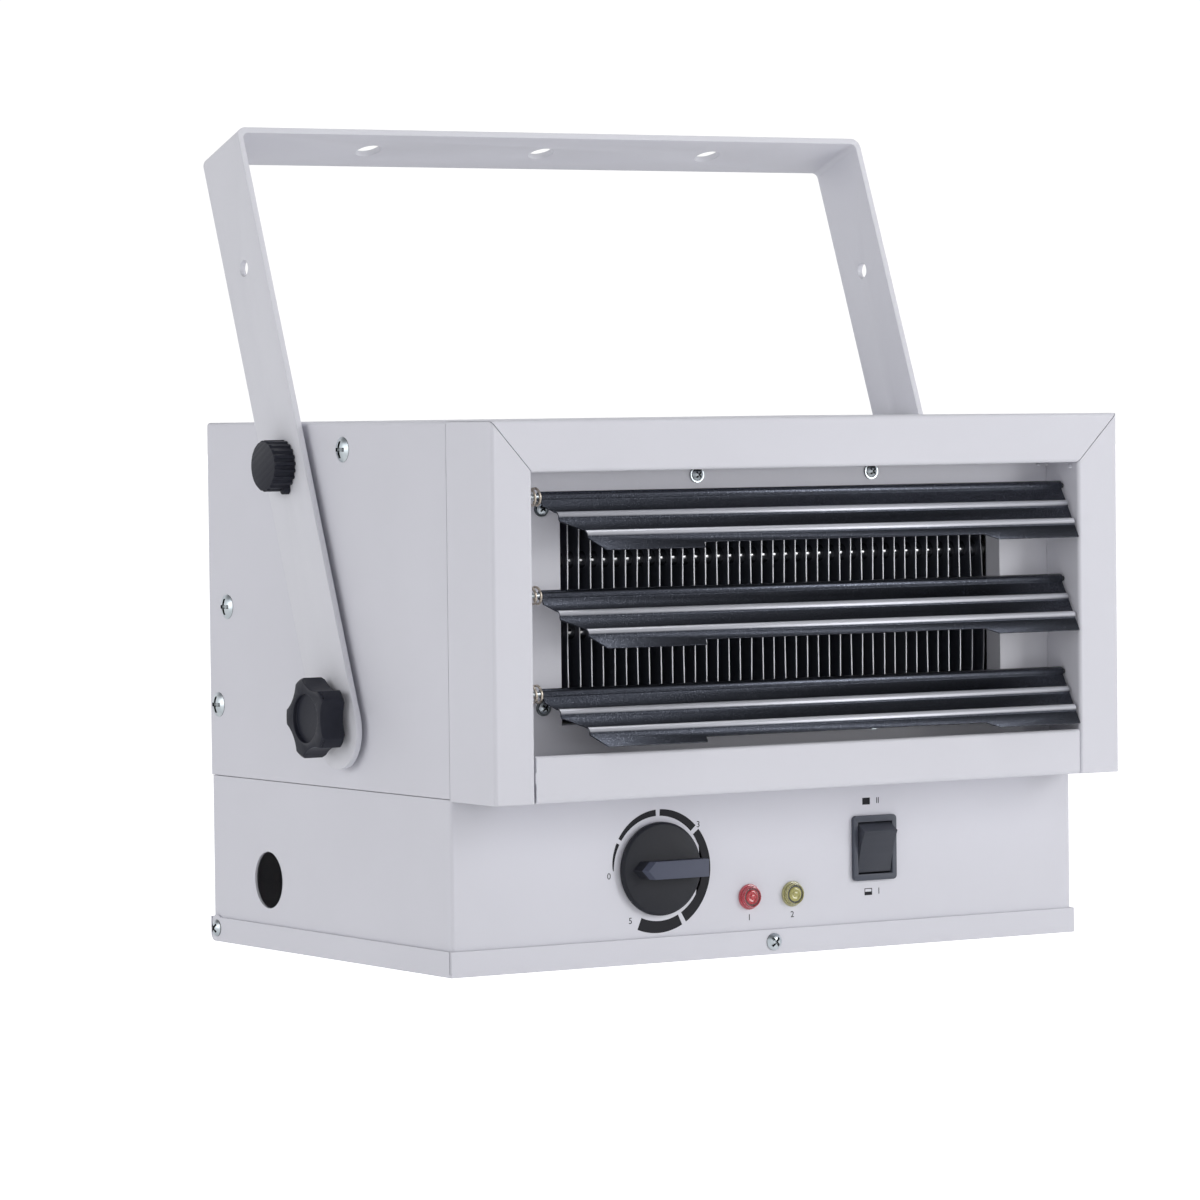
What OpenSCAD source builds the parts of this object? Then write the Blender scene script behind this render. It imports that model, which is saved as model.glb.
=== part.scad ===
// Ceiling mounted fan heater: a sheet metal cabinet hung in a tilting strap.
// All lengths are millimetres.  X runs to the viewer's right and is 0 on the
// cabinet's middle plane, Y runs to the back, Z runs up.  The modules use the
// cabinet's own corner planes (front of the cabinet y = 0, underside of the
// tray z = 0), and from_mount() moves them to the frame of the whole part,
// whose origin is the middle ceiling hole of the strap.

/* [Cabinet] */
// Width of the cabinet and of the front frame
cabinet_w = 354; // [320:1:420]
// Depth of the cabinet behind the front frame
cabinet_d = 230; // [215:1:270]
// Height from the tray's underside to the cabinet's top
cabinet_h = 255; // [245:1:290]
// Height of the seam between control box and fan chamber
seam_z = 82; // [76:1:90]
// Thickness of the folded sheet
sheet_t = 1.2; // [0.8:0.1:1.5]
// Outer radius of the sheet's folds
fold_r = 1.8; // [1.6:0.1:3]
// Open line where two sheets meet
seam_gap = 0.3; // [0.2:0.05:0.5]
// Height of the tray's upstanding lip
tray_lip_h = 12; // [9:0.5:16]
// Diameter of the cable hole in the left side
cable_hole_d = 27.5; // [16:0.5:30]

/* [Front frame] */
// How far the frame stands in front of the cabinet
frame_d = 40; // [36:1:46]
// Height of the top rail
top_rail_h = 23.5; // [20:0.5:28]
// Width of the left stile
left_stile_w = 21.5; // [18:0.5:28]
// Width of the right stile
right_stile_w = 23.5; // [18:0.5:28]
// Height of the bottom rail
sill_h = 21.6; // [18:0.2:24]
// Distance from the frame's front to the baffle plate
baffle_setback = 26; // [24:0.5:28]

/* [Louvres] */
// Length of a louvre blade below its pivot
blade_len = 29; // [26:0.5:30]
// Angle of the blades from upright as photographed
blade_rest = 31; // [26:1:36]
// Thickness of the blade sheet
blade_t = 0.8; // [0.6:0.1:1]
// Radius of the rolled bead around the pivot
bead_r = 2.35; // [2.1:0.05:2.6]
// Radius of the pivot pins
louvre_pin_r = 1.2; // [1:0.05:1.3]
// Drop from the window's top to the first pivot
first_drop = 11.3; // [10:0.1:13]
// Height of the lowest pivot above the sill
last_rise = 27.6; // [26.6:0.1:30]
// Distance from the frame's front to the pivots
pivot_setback = 13.2; // [12.5:0.1:14]

/* [Heating pack] */
// Number of fins
fin_n = 39; // [20:1:45]
// Distance from one fin to the next
fin_pitch = 6.38; // [5:0.02:6.45]
// Thickness of a fin
fin_t = 0.7; // [0.5:0.1:1]
// Depth of the fins
fin_d = 32; // [30:1:36]
// Radius of the heating rods
rod_r = 4; // [3:0.25:4.5]
// Distance between the two legs of a heating rod
leg_pitch = 17; // [15:0.5:18]

/* [Fan] */
// Radius of the ring around the fan
ring_r = 78; // [70:1:80]
// Gap between the blade tips and the ring
tip_gap = 4; // [3:0.5:6]
// Number of fan blades
blade_n = 5; // [4:1:6]
// Radius of the motor
motor_r = 40; // [34:1:44]

/* [Strap] */
// Width of the strap
strap_w = 38; // [30:1:42]
// Thickness of the strap
strap_t = 3; // [2.5:0.5:4]
// Gap between a strap leg and the cabinet's side
leg_gap = 3.2; // [3.1:0.1:4.5]
// Distance from the tilt axis to the strap's top face
leg_len = 295; // [280:0.5:320]
// Distance from the tilt axis to the leg's lower end
tip_len = 25; // [22:0.5:30]
// Backward lean of the strap as photographed
lean = 21.2; // [15:0.1:30]
// Diameter of the three ceiling holes
ceiling_hole_d = 13; // [9:0.5:14]
// Distance between the ceiling holes
ceiling_pitch = 100; // [80:1:120]
// Diameter of the free hole in each leg
leg_hole_d = 8; // [6:0.5:10]
// Distance from the tilt axis to the clamp screw
clamp_dist = 127; // [120:0.5:130]
// Distance from the tilt axis to the free hole
leg_hole_dist = 229; // [215:1:240]
// Height of the tilt axis above the tray's underside
tilt_z = 116; // [108:1:124]
// Distance from the cabinet's front to the tilt axis
tilt_y = 96; // [90:1:104]

/* [Knobs] */
// Radius over the lobes of a star knob
star_r = 19.3; // [16:0.1:21]
// Thickness of a star knob's head
star_h = 12.5; // [10:0.5:16]
// Radius of the star knob's threaded stud
stud_r = 3.94; // [3.4:0.02:3.94]
// Radius of a clamp screw's ribbed head
thumb_r = 12.3; // [10:0.1:14]
// Height of a clamp screw's head
thumb_h = 11; // [8:0.5:14]
// Radius of the clamp screw's stud
clamp_stud_r = 2.94; // [2.4:0.02:2.94]

/* [Controls] */
// Radius of the dial's skirt
dial_r = 22; // [18:0.5:23]
// Distance from the dial's back to the front of its grip
dial_h = 10.7; // [9:0.1:16]
// Width of the dial's grip
grip_w = 8.3; // [7:0.1:10]
// Width of the switch's surround
switch_w = 25; // [23:0.5:28]
// Height of the switch's surround
switch_h = 31.2; // [30:0.2:36]
// Angle of the rocker on either side of its middle
rocker_rest = 17; // [12:0.5:17]
// Radius of a lamp's lens
lens_r = 5.4; // [4.5:0.1:6]

/* [Hidden] */
$fn = 48;

half_w = cabinet_w / 2;
inner_half_w = half_w - sheet_t;
overlap = 1;
frame_bottom = seam_z - 1;

// The window in the front frame.
win_left = -half_w + left_stile_w;
win_right = half_w - right_stile_w;
win_top = cabinet_h - top_rail_h;
sill_top = frame_bottom + sill_h;
baffle_y = -frame_d + baffle_setback;
baffle_back = baffle_y + sheet_t;
return_gap = 0.2;
washer_room = 1.4;
hem_d = 2;

// The louvres.
louvre_n = 3;
louvre_pitch = (win_top - sill_top - first_drop - last_rise) / (louvre_n - 1);
louvre_y = -frame_d + pivot_setback;
spring_room = 11.5;
right_end_gap = 1.7;
bead_left = win_left + spring_room;
bead_right = win_right - right_end_gap;
pin_play = 0.05;
pin_bore_r = louvre_pin_r + pin_play;
pin_grip = 8;
pin_tail = 2.5;
ridge_h = 1.7;
ridge_w = 5;
ridge_s = [10.4, 20.4];
tab_drop = 2.9;

// The louvre springs.
spring_r = 3.9;
spring_wire_r = 0.55;
spring_turns = 3.25;
spring_seat = 0.3;
spring_rings = 8;
spring_sides = 6;
spring_pitch = (spring_room - 2 * spring_seat - 2 * spring_wire_r) / spring_turns;

// The heating pack.
fin_first = -120.1;
fin_y = baffle_y + 12;
opening_half_w = 125;
opening_bottom = sill_top + 11.9;
opening_top = win_top - 15;
duct_wall = 0.8;
duct_half_w = opening_half_w + 23;
duct_bottom = opening_bottom - 2.3;
duct_top = opening_top + 3.3;
duct_back = fin_y + fin_d + 4;
flange_y = baffle_back + 0.2;
plate_seat = 0.8;
end_plate_x = opening_half_w + sheet_t + plate_seat;
fin_bottom = opening_bottom + 0.6;
fin_top = opening_top - 0.5;
rod_play = 0.1;
leg_front_y = fin_y + fin_d / 2 - leg_pitch / 2;
rod_bottom = fin_bottom + 9;
rod_z = [for (i = [0:2]) rod_bottom + i * (fin_top - 26 - rod_bottom) / 2];
bend_x = -end_plate_x - sheet_t - 2;
rod_end_x = end_plate_x + sheet_t + 6;
insulator_len = 6;
terminal_len = 5;
terminal_r = 1.5;
limit_x = 60;
limit_y = 7;

// The fan.
fan_z = (seam_z + cabinet_h) / 2;
shroud_y = tilt_y - 8;
shroud_half_w = inner_half_w - 0.3;
ring_d = 22;
blade_tip_r = ring_r - tip_gap;
hub_r = 20;
hub_y = shroud_y + 6;
hub_d = 22;
paddle_depth = hub_d - 1;
fan_nut_r = 7.5;
fan_nut_h = 5;
shaft_r = 4;
shaft_bore_r = 4.05;
motor_y = hub_y + hub_d + 6;
motor_len = 56;
strap_y = motor_y + motor_len + 0.2;
strap_half_w = ring_r + 16;
motor_strap_h = 24;
motor_strap_t = 2;
motor_foot = 16;
motor_screw_x = 26;
foot_screw_x = strap_half_w + motor_foot / 2;

// The back.
back_y = cabinet_d - sheet_t;
inlet_r = 82;
guard_wire_r = 1.1;
guard_y = back_y - 0.3 - guard_wire_r;
guard_rings = 6;
guard_step = 13.6;

// The strap.
strap_half = half_w + leg_gap + strap_t;
strap_bend_r = 5;
pivot_play = 0.06;
stud_bore_r = stud_r + pivot_play;
clamp_bore_r = clamp_stud_r + pivot_play;
mount_y = tilt_y + leg_len * sin(lean);
mount_z = tilt_z + leg_len * cos(lean);
nut_h = 7;
nut_r = 7.5;
nut_past = 1.5;
spacer_r = 11;
star_neck_h = 3;
star_seat = 0.3;

// The screws.
screw_r = 2;
screw_play = 0.2;
washer_r = 3.75;
washer_t = 0.8;
pan_r = 2.8;
pan_h = 1.6;
body_head_r = 6;
body_head_h = 2.4;
tray_head_r = 4.1;
tray_head_h = 2.2;
recess_share = 0.66;
screw_len = 6;
small_screw_len = 4;
side_screws_yz = [
    [shroud_y + 7.6, cabinet_h - 13],
    [cabinet_d - 18, seam_z + 83],
    [cabinet_d - 8, seam_z + 34.7]
];
baffle_mid_x = half_w * 0.28;
baffle_end_x = half_w * 0.763;
baffle_mid_drop = 2.8;
baffle_mid_rise = 6.7;
baffle_end_drop = 17;
baffle_end_rise = 20.3;
baffle_screws_xz = [
    for (x = [-baffle_mid_x, baffle_mid_x], z = [win_top - baffle_mid_drop, sill_top + baffle_mid_rise])
        [x, z],
    for (x = [-baffle_end_x, baffle_end_x], z = [win_top - baffle_end_drop, sill_top + baffle_end_rise])
        [x, z]
];

// The control box.
box_top = seam_z - seam_gap;
dial_x = -64.2;
dial_z = 44.3;
dial_gap = 0.8;
skirt_h = 3.2;
spindle_r = 3;
spindle_hole_r = 5;
thermostat_w = 34;
thermostat_d = 22;
switch_x = 58.6;
switch_z = 47.8;
switch_front = 2;
switch_body_w = 22;
switch_body_h = 28.4;
switch_depth = 26;
rocker_axis_y = 1.5;
rocker_face_y = -5.9;
rocker_face_z = 10.5;
rocker_end_z = 12.15;
rocker_half_w = 9.6;
rocker_play = 0.2;
rocker_pin_r = 1.3;
rocker_pin_len = 1;
red_x = -13.2;
amber_x = 11.4;
lamp_z = 28.1;
lamp_hole_r = 4.6;
tray_lip_t = 1;
tray_gap = 0.1;
cable_y = 173.4;
cable_z = 33.5;
tray_screw_y = cabinet_d - 5;
tray_screw_z = 6;
tray_side_z = 6.5;
tray_bend_r = 4;
front_screw_x = 0;
box_floor = sheet_t + 0.1;
block_x = -half_w + 27;
block_y = cable_y - 62;
block_d = 22;
block_base_h = 8;
block_h = 18;
way_n = 5;
way_w = 11;
wire_hole_r = 2.4;
relay_x = half_w / 2 - 8;
relay_y = cabinet_d / 2 + 20;
relay_w = 60;
relay_d = 50;
relay_base_h = 30;
relay_h = 52;
clamp_w = 14;
clamp_half_d = 17;
clamp_foot_h = 10;
clamp_ring_t = 4;
cord_r = 7;

module from_mount() {
    translate([0, -mount_y, -mount_z]) children();
}

// A block between two opposite corners.
module block(low, high) {
    translate(low) cube(high - low);
}

// Round bars along each axis, from one coordinate to another.
module bar_x(r, x0, x1, y, z) {
    translate([x0, y, z]) rotate([0, 90, 0]) cylinder(r = r, h = x1 - x0);
}

module bar_y(r, y0, y1, x, z) {
    translate([x, y0, z]) rotate([-90, 0, 0]) cylinder(r = r, h = y1 - y0);
}

module bar_z(r, z0, z1, x, y) {
    translate([x, y, z0]) cylinder(r = r, h = z1 - z0);
}

// Copies its children on both sides of the middle plane.
module both_sides() {
    children();
    mirror([1, 0, 0]) children();
}

// A flat outline pushed along an axis: outline x, y become y, z or x, z.
module push_x(x0, x1) {
    translate([x0, 0, 0]) rotate([90, 0, 90]) linear_extrude(height = x1 - x0) children();
}

module push_y(y0, y1) {
    translate([0, y1, 0]) rotate([90, 0, 0]) linear_extrude(height = y1 - y0) children();
}

// A rectangle from (x0, y0) to (x1, y1) with four round corners.
module round_rect(x0, y0, x1, y1, r) {
    translate([x0 + r, y0]) square([x1 - x0 - 2 * r, y1 - y0]);
    translate([x0, y0 + r]) square([x1 - x0, y1 - y0 - 2 * r]);
    for (x = [x0 + r, x1 - r], y = [y0 + r, y1 - r]) translate([x, y]) circle(r = r);
}

// A rectangle with only its two upper corners round.
module round_top(x0, y0, x1, y1, r) {
    translate([x0, y0]) square([x1 - x0, y1 - y0 - r]);
    translate([x0 + r, y0]) square([x1 - x0 - 2 * r, y1 - y0]);
    for (x = [x0 + r, x1 - r]) translate([x, y1 - r]) circle(r = r);
}

// A domed screw head with a cross recess, seat at z = 0.
module screw_head(r, h) {
    arm_len = r * 2 * recess_share;
    arm_w = r * 0.3;
    arm_d = h * 0.6;
    dome_r = (r * r + h * h) / (2 * h) + 0.6;
    difference() {
        intersection() {
            cylinder(r = r, h = h);
            translate([0, 0, h - dome_r]) sphere(r = dome_r, $fn = 96);
        }
        for (a = [45, 135]) rotate([0, 0, a])
            translate([-arm_len / 2, -arm_w / 2, h - arm_d]) cube([arm_len, arm_w, arm_d + overlap]);
    }
}

module screw_shank(len) {
    translate([0, 0, -len]) cylinder(r = screw_r, h = len + overlap);
}

// A small pan head screw on a washer: seat at z = 0, head up, shank down.
module pan_screw(len) {
    screw_shank(len);
    cylinder(r = washer_r, h = washer_t);
    translate([0, 0, washer_t]) screw_head(pan_r, pan_h);
}

// The wide flat head screws of the cabinet's sides.
module body_screw(len) {
    screw_shank(len);
    rotate([0, 0, 45]) screw_head(body_head_r, body_head_h);
}

// The round head screws of the tray.
module tray_screw(len) {
    screw_shank(len);
    screw_head(tray_head_r, tray_head_h);
}

module facing_front(x, y, z) {
    translate([x, y, z]) rotate([90, 0, 0]) children();
}

module facing_back(x, y, z) {
    translate([x, y, z]) rotate([-90, 0, 0]) children();
}

module facing_left(x, y, z) {
    translate([x, y, z]) rotate([0, -90, 0]) children();
}

// ---------------------------------------------------------------- the strap

// The strap's own frame: its origin is on the tilt axis, its Z runs up the leg.
module strap_frame() {
    translate([0, tilt_y, tilt_z]) rotate([-lean, 0, 0]) children();
}

module strap_outline() {
    difference() {
        round_top(-strap_half, -tip_len, strap_half, leg_len, strap_bend_r);
        round_top(-strap_half + strap_t, -tip_len - overlap,
                  strap_half - strap_t, leg_len - strap_t, strap_bend_r - strap_t + 1);
    }
}

module leg_side_outline() {
    end_r = strap_w / 2;
    translate([-end_r, end_r - tip_len]) square([strap_w, leg_len + tip_len]);
    translate([0, end_r - tip_len]) circle(r = end_r);
}

module bracket() {
    color("gainsboro") from_mount() strap_frame() difference() {
        intersection() {
            push_y(-strap_w / 2 - overlap, strap_w / 2 + overlap) strap_outline();
            push_x(-strap_half, strap_half) leg_side_outline();
        }
        for (i = [-1:1])
            bar_z(ceiling_hole_d / 2, leg_len - strap_t - overlap, leg_len + overlap,
                  i * ceiling_pitch, 0);
        both_sides() {
            bar_x(stud_bore_r, half_w, strap_half + overlap, 0, 0);
            bar_x(clamp_bore_r, half_w, strap_half + overlap, 0, clamp_dist);
            bar_x(leg_hole_d / 2, half_w, strap_half + overlap, 0, leg_hole_dist);
        }
    }
}

// The left clamp screw's head, ribbed for the fingers, with a small stop lug.
module thumb_head() {
    rib_n = 22;
    rib_r = 1.15;
    chamfer = 0.8;
    lug_r = 2.4;
    lug_h = 3;
    translate([-strap_half - star_seat, 0, clamp_dist]) rotate([0, -90, 0]) difference() {
        union() {
            intersection() {
                linear_extrude(height = thumb_h) difference() {
                    circle(r = thumb_r);
                    for (i = [0:rib_n - 1]) rotate(i * 360 / rib_n)
                        translate([thumb_r + rib_r * 0.25, 0]) circle(r = rib_r);
                }
                rotate_extrude() polygon([[0, 0], [thumb_r, 0],
                    [thumb_r, thumb_h - chamfer], [thumb_r - chamfer, thumb_h], [0, thumb_h]]);
            }
            translate([-thumb_r + 0.2, 0, 0]) cylinder(r = lug_r, h = lug_h);
        }
        translate([0, 0, -overlap]) cylinder(r = clamp_bore_r, h = thumb_h - 3 + overlap);
    }
}

module thumb_stud() {
    bar_x(clamp_stud_r, -strap_half - thumb_h + 3.5, -half_w - star_seat, 0, clamp_dist);
}

module left_thumb_screw() {
    color("#26272b") from_mount() strap_frame() thumb_head();
}

module left_thumb_stud() {
    color("silver") from_mount() strap_frame() thumb_stud();
}

module right_thumb_screw() {
    color("#26272b") from_mount() strap_frame() mirror([1, 0, 0]) thumb_head();
}

module right_thumb_stud() {
    color("silver") from_mount() strap_frame() mirror([1, 0, 0]) thumb_stud();
}

// The left star knob: five lobes, a dished front and a short neck.
module star_head() {
    lobe_n = 5;
    hollow_r = 18;
    hollow_at = star_r + 13.4;
    chamfer = 1.4;
    dish_r = 11.5;
    dish_d = 2;
    neck_r = 9.5;
    translate([-strap_half - star_seat, tilt_y, tilt_z]) rotate([0, -90, 0]) difference() {
        union() {
            cylinder(r = neck_r, h = star_neck_h + overlap);
            translate([0, 0, star_neck_h]) intersection() {
                linear_extrude(height = star_h) difference() {
                    circle(r = star_r);
                    for (i = [0:lobe_n - 1]) rotate((i + 0.5) * 360 / lobe_n + 90)
                        translate([hollow_at, 0]) circle(r = hollow_r);
                }
                rotate_extrude() polygon([[0, 0], [star_r - chamfer, 0], [star_r, chamfer],
                    [star_r, star_h - chamfer], [star_r - chamfer, star_h], [0, star_h]]);
            }
        }
        translate([0, 0, star_neck_h + star_h - dish_d]) cylinder(r = dish_r, h = dish_d + overlap);
        translate([0, 0, -overlap]) cylinder(r = stud_bore_r, h = star_h + overlap);
    }
}

module knob_stud() {
    bar_x(stud_r, -strap_half - star_h + 0.5, -half_w + sheet_t * 2 + nut_h + nut_past,
          tilt_y, tilt_z);
}

module left_star_knob() {
    color("#26272b") from_mount() star_head();
}

module left_knob_stud() {
    color("silver") from_mount() knob_stud();
}

module right_star_knob() {
    color("#26272b") from_mount() mirror([1, 0, 0]) star_head();
}

module right_knob_stud() {
    color("silver") from_mount() mirror([1, 0, 0]) knob_stud();
}

module pivot_nuts() {
    color("silver") from_mount() both_sides() difference() {
        translate([-shroud_half_w + sheet_t, tilt_y, tilt_z]) rotate([0, 90, 0])
            cylinder(r = nut_r, h = nut_h, $fn = 6);
        bar_x(stud_bore_r, -half_w, -half_w + sheet_t * 2 + nut_h + overlap * 2, tilt_y, tilt_z);
    }
}

module pivot_spacers() {
    color("#33343a") from_mount() both_sides() difference() {
        bar_x(spacer_r, -half_w - leg_gap + 0.1, -half_w, tilt_y, tilt_z);
        bar_x(stud_bore_r + 0.3, -half_w - leg_gap, -half_w + overlap, tilt_y, tilt_z);
    }
}

// -------------------------------------------------------------- the cabinet

module shell_outline() {
    floor_flange = 10;
    low = seam_z;
    difference() {
        round_top(-half_w, low, half_w, cabinet_h, fold_r);
        round_top(-inner_half_w, low + sheet_t, inner_half_w, cabinet_h - sheet_t,
                  fold_r - sheet_t);
        translate([-inner_half_w + floor_flange, low - overlap])
            square([cabinet_w - 2 * (sheet_t + floor_flange), sheet_t + overlap * 2]);
    }
}

module cabinet_shell() {
    front_flange = 16;
    color("gainsboro") from_mount() difference() {
        union() {
            push_y(seam_gap, cabinet_d) shell_outline();
            push_y(seam_gap, seam_gap + sheet_t) difference() {
                translate([-inner_half_w - sheet_t / 2, seam_z + sheet_t / 2])
                    square([cabinet_w - sheet_t, cabinet_h - seam_z - sheet_t]);
                translate([-inner_half_w + front_flange, seam_z - overlap])
                    square([2 * (inner_half_w - front_flange),
                            cabinet_h - sheet_t - front_flange - seam_z + overlap]);
            }
        }
        both_sides() {
            bar_x(stud_bore_r + 0.3, -half_w - overlap, -inner_half_w + overlap, tilt_y, tilt_z);
            for (p = side_screws_yz)
                bar_x(screw_r + screw_play, -half_w - overlap, -inner_half_w + overlap, p[0], p[1]);
        }
    }
}

module side_screws() {
    color("silver") from_mount() both_sides() for (p = side_screws_yz)
        facing_left(-half_w, p[0], p[1]) body_screw(screw_len);
}

module back_panel() {
    side_flange = 25;
    low = seam_z + sheet_t + 0.4;
    high = cabinet_h - sheet_t - 0.3;
    hw = inner_half_w - 0.2;
    color("gainsboro") from_mount() difference() {
        union() {
            block([-hw, back_y, low], [hw, cabinet_d, high]);
            both_sides() block([-hw, cabinet_d - side_flange, low], [-hw + sheet_t, cabinet_d, high]);
            block([-hw, cabinet_d - 12, high - sheet_t], [hw, cabinet_d, high]);
        }
        bar_y(inlet_r, back_y - overlap, cabinet_d + overlap, 0, fan_z);
        both_sides() for (i = [1, 2])
            bar_x(screw_r + screw_play, -half_w, -hw + sheet_t + overlap,
                  side_screws_yz[i][0], side_screws_yz[i][1]);
        for (a = [45:90:315]) guard_place(a)
            translate([0, 0, -overlap]) cylinder(r = screw_r + screw_play, h = sheet_t + 2 * overlap);
    }
}

// The four fixing points of the inlet guard, Z pointing out of the back.
module guard_place(a) {
    at_r = inlet_r + 7;
    translate([at_r * cos(a), back_y, fan_z + at_r * sin(a)]) rotate([-90, 0, 0]) children();
}

module inlet_guard() {
    tongue_t = 1.2;
    spoke_r = 1.5;
    spoke_y = guard_y - 1.8;
    color("#3a3b40") from_mount() union() {
        for (i = [1:guard_rings]) translate([0, guard_y, fan_z]) rotate([90, 0, 0])
            rotate_extrude() translate([i * guard_step, 0]) circle(r = guard_wire_r);
        translate([0, spoke_y - spoke_r, fan_z]) rotate([-90, 0, 0])
            cylinder(r = 5, h = 2 * spoke_r + 0.4);
        for (a = [45:90:315]) {
            translate([0, spoke_y, fan_z]) rotate([0, -a, 0])
                bar_x(spoke_r, 0, inlet_r + 3, 0, 0);
            difference() {
                guard_place(a) translate([0, 0, -tongue_t - 2]) cylinder(r = 6, h = tongue_t + 1.7);
                guard_place(a) translate([0, 0, -tongue_t - 3])
                    cylinder(r = screw_r + screw_play, h = tongue_t + 4);
            }
        }
    }
}

module guard_screws() {
    color("silver") from_mount() for (a = [45:90:315])
        guard_place(a) translate([0, 0, sheet_t]) pan_screw(small_screw_len);
}

module divider_plate() {
    hw = inner_half_w - 0.3;
    top = box_top;
    color("silver") from_mount() difference() {
        union() {
            block([-hw, sheet_t + 0.3, top - sheet_t], [hw, cabinet_d - sheet_t - 0.3, top]);
            both_sides() block([-hw, sheet_t + 0.3, top - 12],
                               [-hw + sheet_t, cabinet_d - sheet_t - 0.3, top]);
        }
        bar_z(8, top - sheet_t - overlap, top + overlap, 120, 60);
    }
}

// ---------------------------------------------------------- the front frame

// A rail's section: u = 0 at the outer face, v = 0 at the front face.
module channel(w, outer_d, inner_d) {
    difference() {
        union() {
            translate([fold_r, 0]) square([w - 2 * fold_r, sheet_t]);
            translate([0, fold_r]) square([sheet_t, outer_d - fold_r]);
            translate([w - sheet_t, min(fold_r, inner_d)]) square([sheet_t, max(inner_d - fold_r, 0.01)]);
            for (u = [fold_r, w - fold_r]) translate([u, fold_r]) circle(r = fold_r);
        }
        translate([sheet_t, sheet_t]) square([w - 2 * sheet_t, outer_d]);
        translate([w - sheet_t - overlap, inner_d]) square([sheet_t + 2 * overlap, outer_d]);
    }
}

module frame_top_rail() {
    color("whitesmoke") from_mount() intersection() {
        push_x(-half_w, half_w) translate([-frame_d, cabinet_h]) rotate(-90)
            channel(top_rail_h, frame_d, baffle_setback - washer_room);
        push_y(-frame_d - overlap, overlap) polygon([
            [-half_w + seam_gap, cabinet_h], [half_w - seam_gap, cabinet_h],
            [win_right - seam_gap, win_top], [win_left + seam_gap, win_top]]);
    }
}

// A stile standing at the left edge: w is its width.
module stile(w) {
    difference() {
        intersection() {
            translate([0, 0, frame_bottom]) linear_extrude(height = cabinet_h - frame_bottom)
                translate([-half_w, -frame_d]) channel(w, frame_d, baffle_setback - return_gap);
            push_y(-frame_d - overlap, overlap) polygon([
                [-half_w, frame_bottom], [-half_w, cabinet_h - seam_gap / 2],
                [-half_w + w, win_top - seam_gap / 2], [-half_w + w, frame_bottom]]);
        }
        for (i = [0:louvre_n - 1])
            bar_x(pin_bore_r, -half_w + w - sheet_t - overlap, -half_w + w + overlap,
                  louvre_y, louvre_z(i));
    }
}

module frame_left_stile() {
    color("whitesmoke") from_mount() stile(left_stile_w);
}

module frame_right_stile() {
    color("whitesmoke") from_mount() mirror([1, 0, 0]) stile(right_stile_w);
}

module frame_sill() {
    slit = 0.5;
    bridge_z = frame_bottom + 11.6;
    bridge_h = 5;
    color("whitesmoke") from_mount() union() {
        push_x(win_left + slit, win_right - slit) translate([-frame_d, frame_bottom])
            mirror([1, -1]) channel(sill_h, frame_d, hem_d);
        block([win_left + 0.05, -frame_d, bridge_z - bridge_h / 2],
              [win_left + slit + overlap, -frame_d + sheet_t, bridge_z + bridge_h / 2]);
    }
}

module baffle_plate() {
    side = 9;
    jamb_end = fin_y - 1;
    back_end = -seam_gap;
    x0 = win_left - side;
    x1 = win_right + side;
    z0 = frame_bottom + sheet_t + 0.4;
    z1 = win_top + side;
    color("#d9dadd") from_mount() difference() {
        union() {
            block([x0, baffle_y, z0], [x1, baffle_back, z1]);
            block([x0, baffle_y, z0], [x0 + sheet_t, back_end, z1]);
            block([x1 - sheet_t, baffle_y, z0], [x1, back_end, z1]);
            block([x0, baffle_y, z1 - sheet_t], [x1, back_end, z1]);
            block([-opening_half_w - sheet_t, baffle_y, opening_bottom - sheet_t],
                  [opening_half_w + sheet_t, jamb_end, opening_top + sheet_t]);
        }
        block([-opening_half_w, baffle_y - overlap, opening_bottom],
              [opening_half_w, jamb_end + overlap, opening_top]);
        for (p = baffle_screws_xz)
            bar_y(screw_r + screw_play, baffle_y - overlap, baffle_back + overlap, p[0], p[1]);
    }
}

module baffle_screws() {
    color("silver") from_mount() for (p = baffle_screws_xz)
        facing_front(p[0], baffle_y, p[1]) pan_screw(small_screw_len);
}

// -------------------------------------------------------------- the louvres

function louvre_z(i) = win_top - first_drop - i * louvre_pitch;

// Ridge pressed into the blade: a bow of sheet on the front of the blade.
module ridge_outline(s) {
    bow_r = (ridge_w * ridge_w / 4 + ridge_h * ridge_h) / (2 * ridge_h);
    translate([-ridge_h + bow_r, -s]) intersection() {
        difference() {
            circle(r = bow_r);
            circle(r = bow_r - blade_t);
        }
        translate([-bow_r, -ridge_w / 2]) square([ridge_h, ridge_w]);
    }
}

// Section of a blade hanging straight down from its pivot, front at -x.
module blade_outline() {
    difference() {
        union() {
            circle(r = bead_r);
            translate([-blade_t, -blade_len]) square([blade_t, blade_len]);
        }
        circle(r = pin_bore_r);
        for (s = ridge_s) translate([-blade_t - overlap, -s - ridge_w / 2 + blade_t])
            square([blade_t + 2 * overlap, ridge_w - 2 * blade_t]);
    }
    for (s = ridge_s) ridge_outline(s);
}

// The blade's shape seen from the front, with its stepped left end.
module blade_front() {
    s1 = ridge_s[0];
    s2 = ridge_s[1];
    short = blade_len - tab_drop;
    polygon([
        [bead_left, 2 * bead_r], [bead_left, -bead_r - 2.6],
        [bead_left + 6.1, -s1 + 1.4], [bead_left + 6.5, -s1 - 3],
        [bead_left + 18.3, -s2 + 1.8], [bead_left + 18.7, -s2 - 2.2],
        [bead_left + 28, -blade_len - overlap],
        [bead_left + 80.7, -blade_len - overlap], [bead_left + 80.7, -short],
        [bead_right - 55.2, -short], [bead_right - 46.1 + overlap, -blade_len - overlap],
        [bead_right, -blade_len - overlap], [bead_right, 2 * bead_r]]);
}

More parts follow.
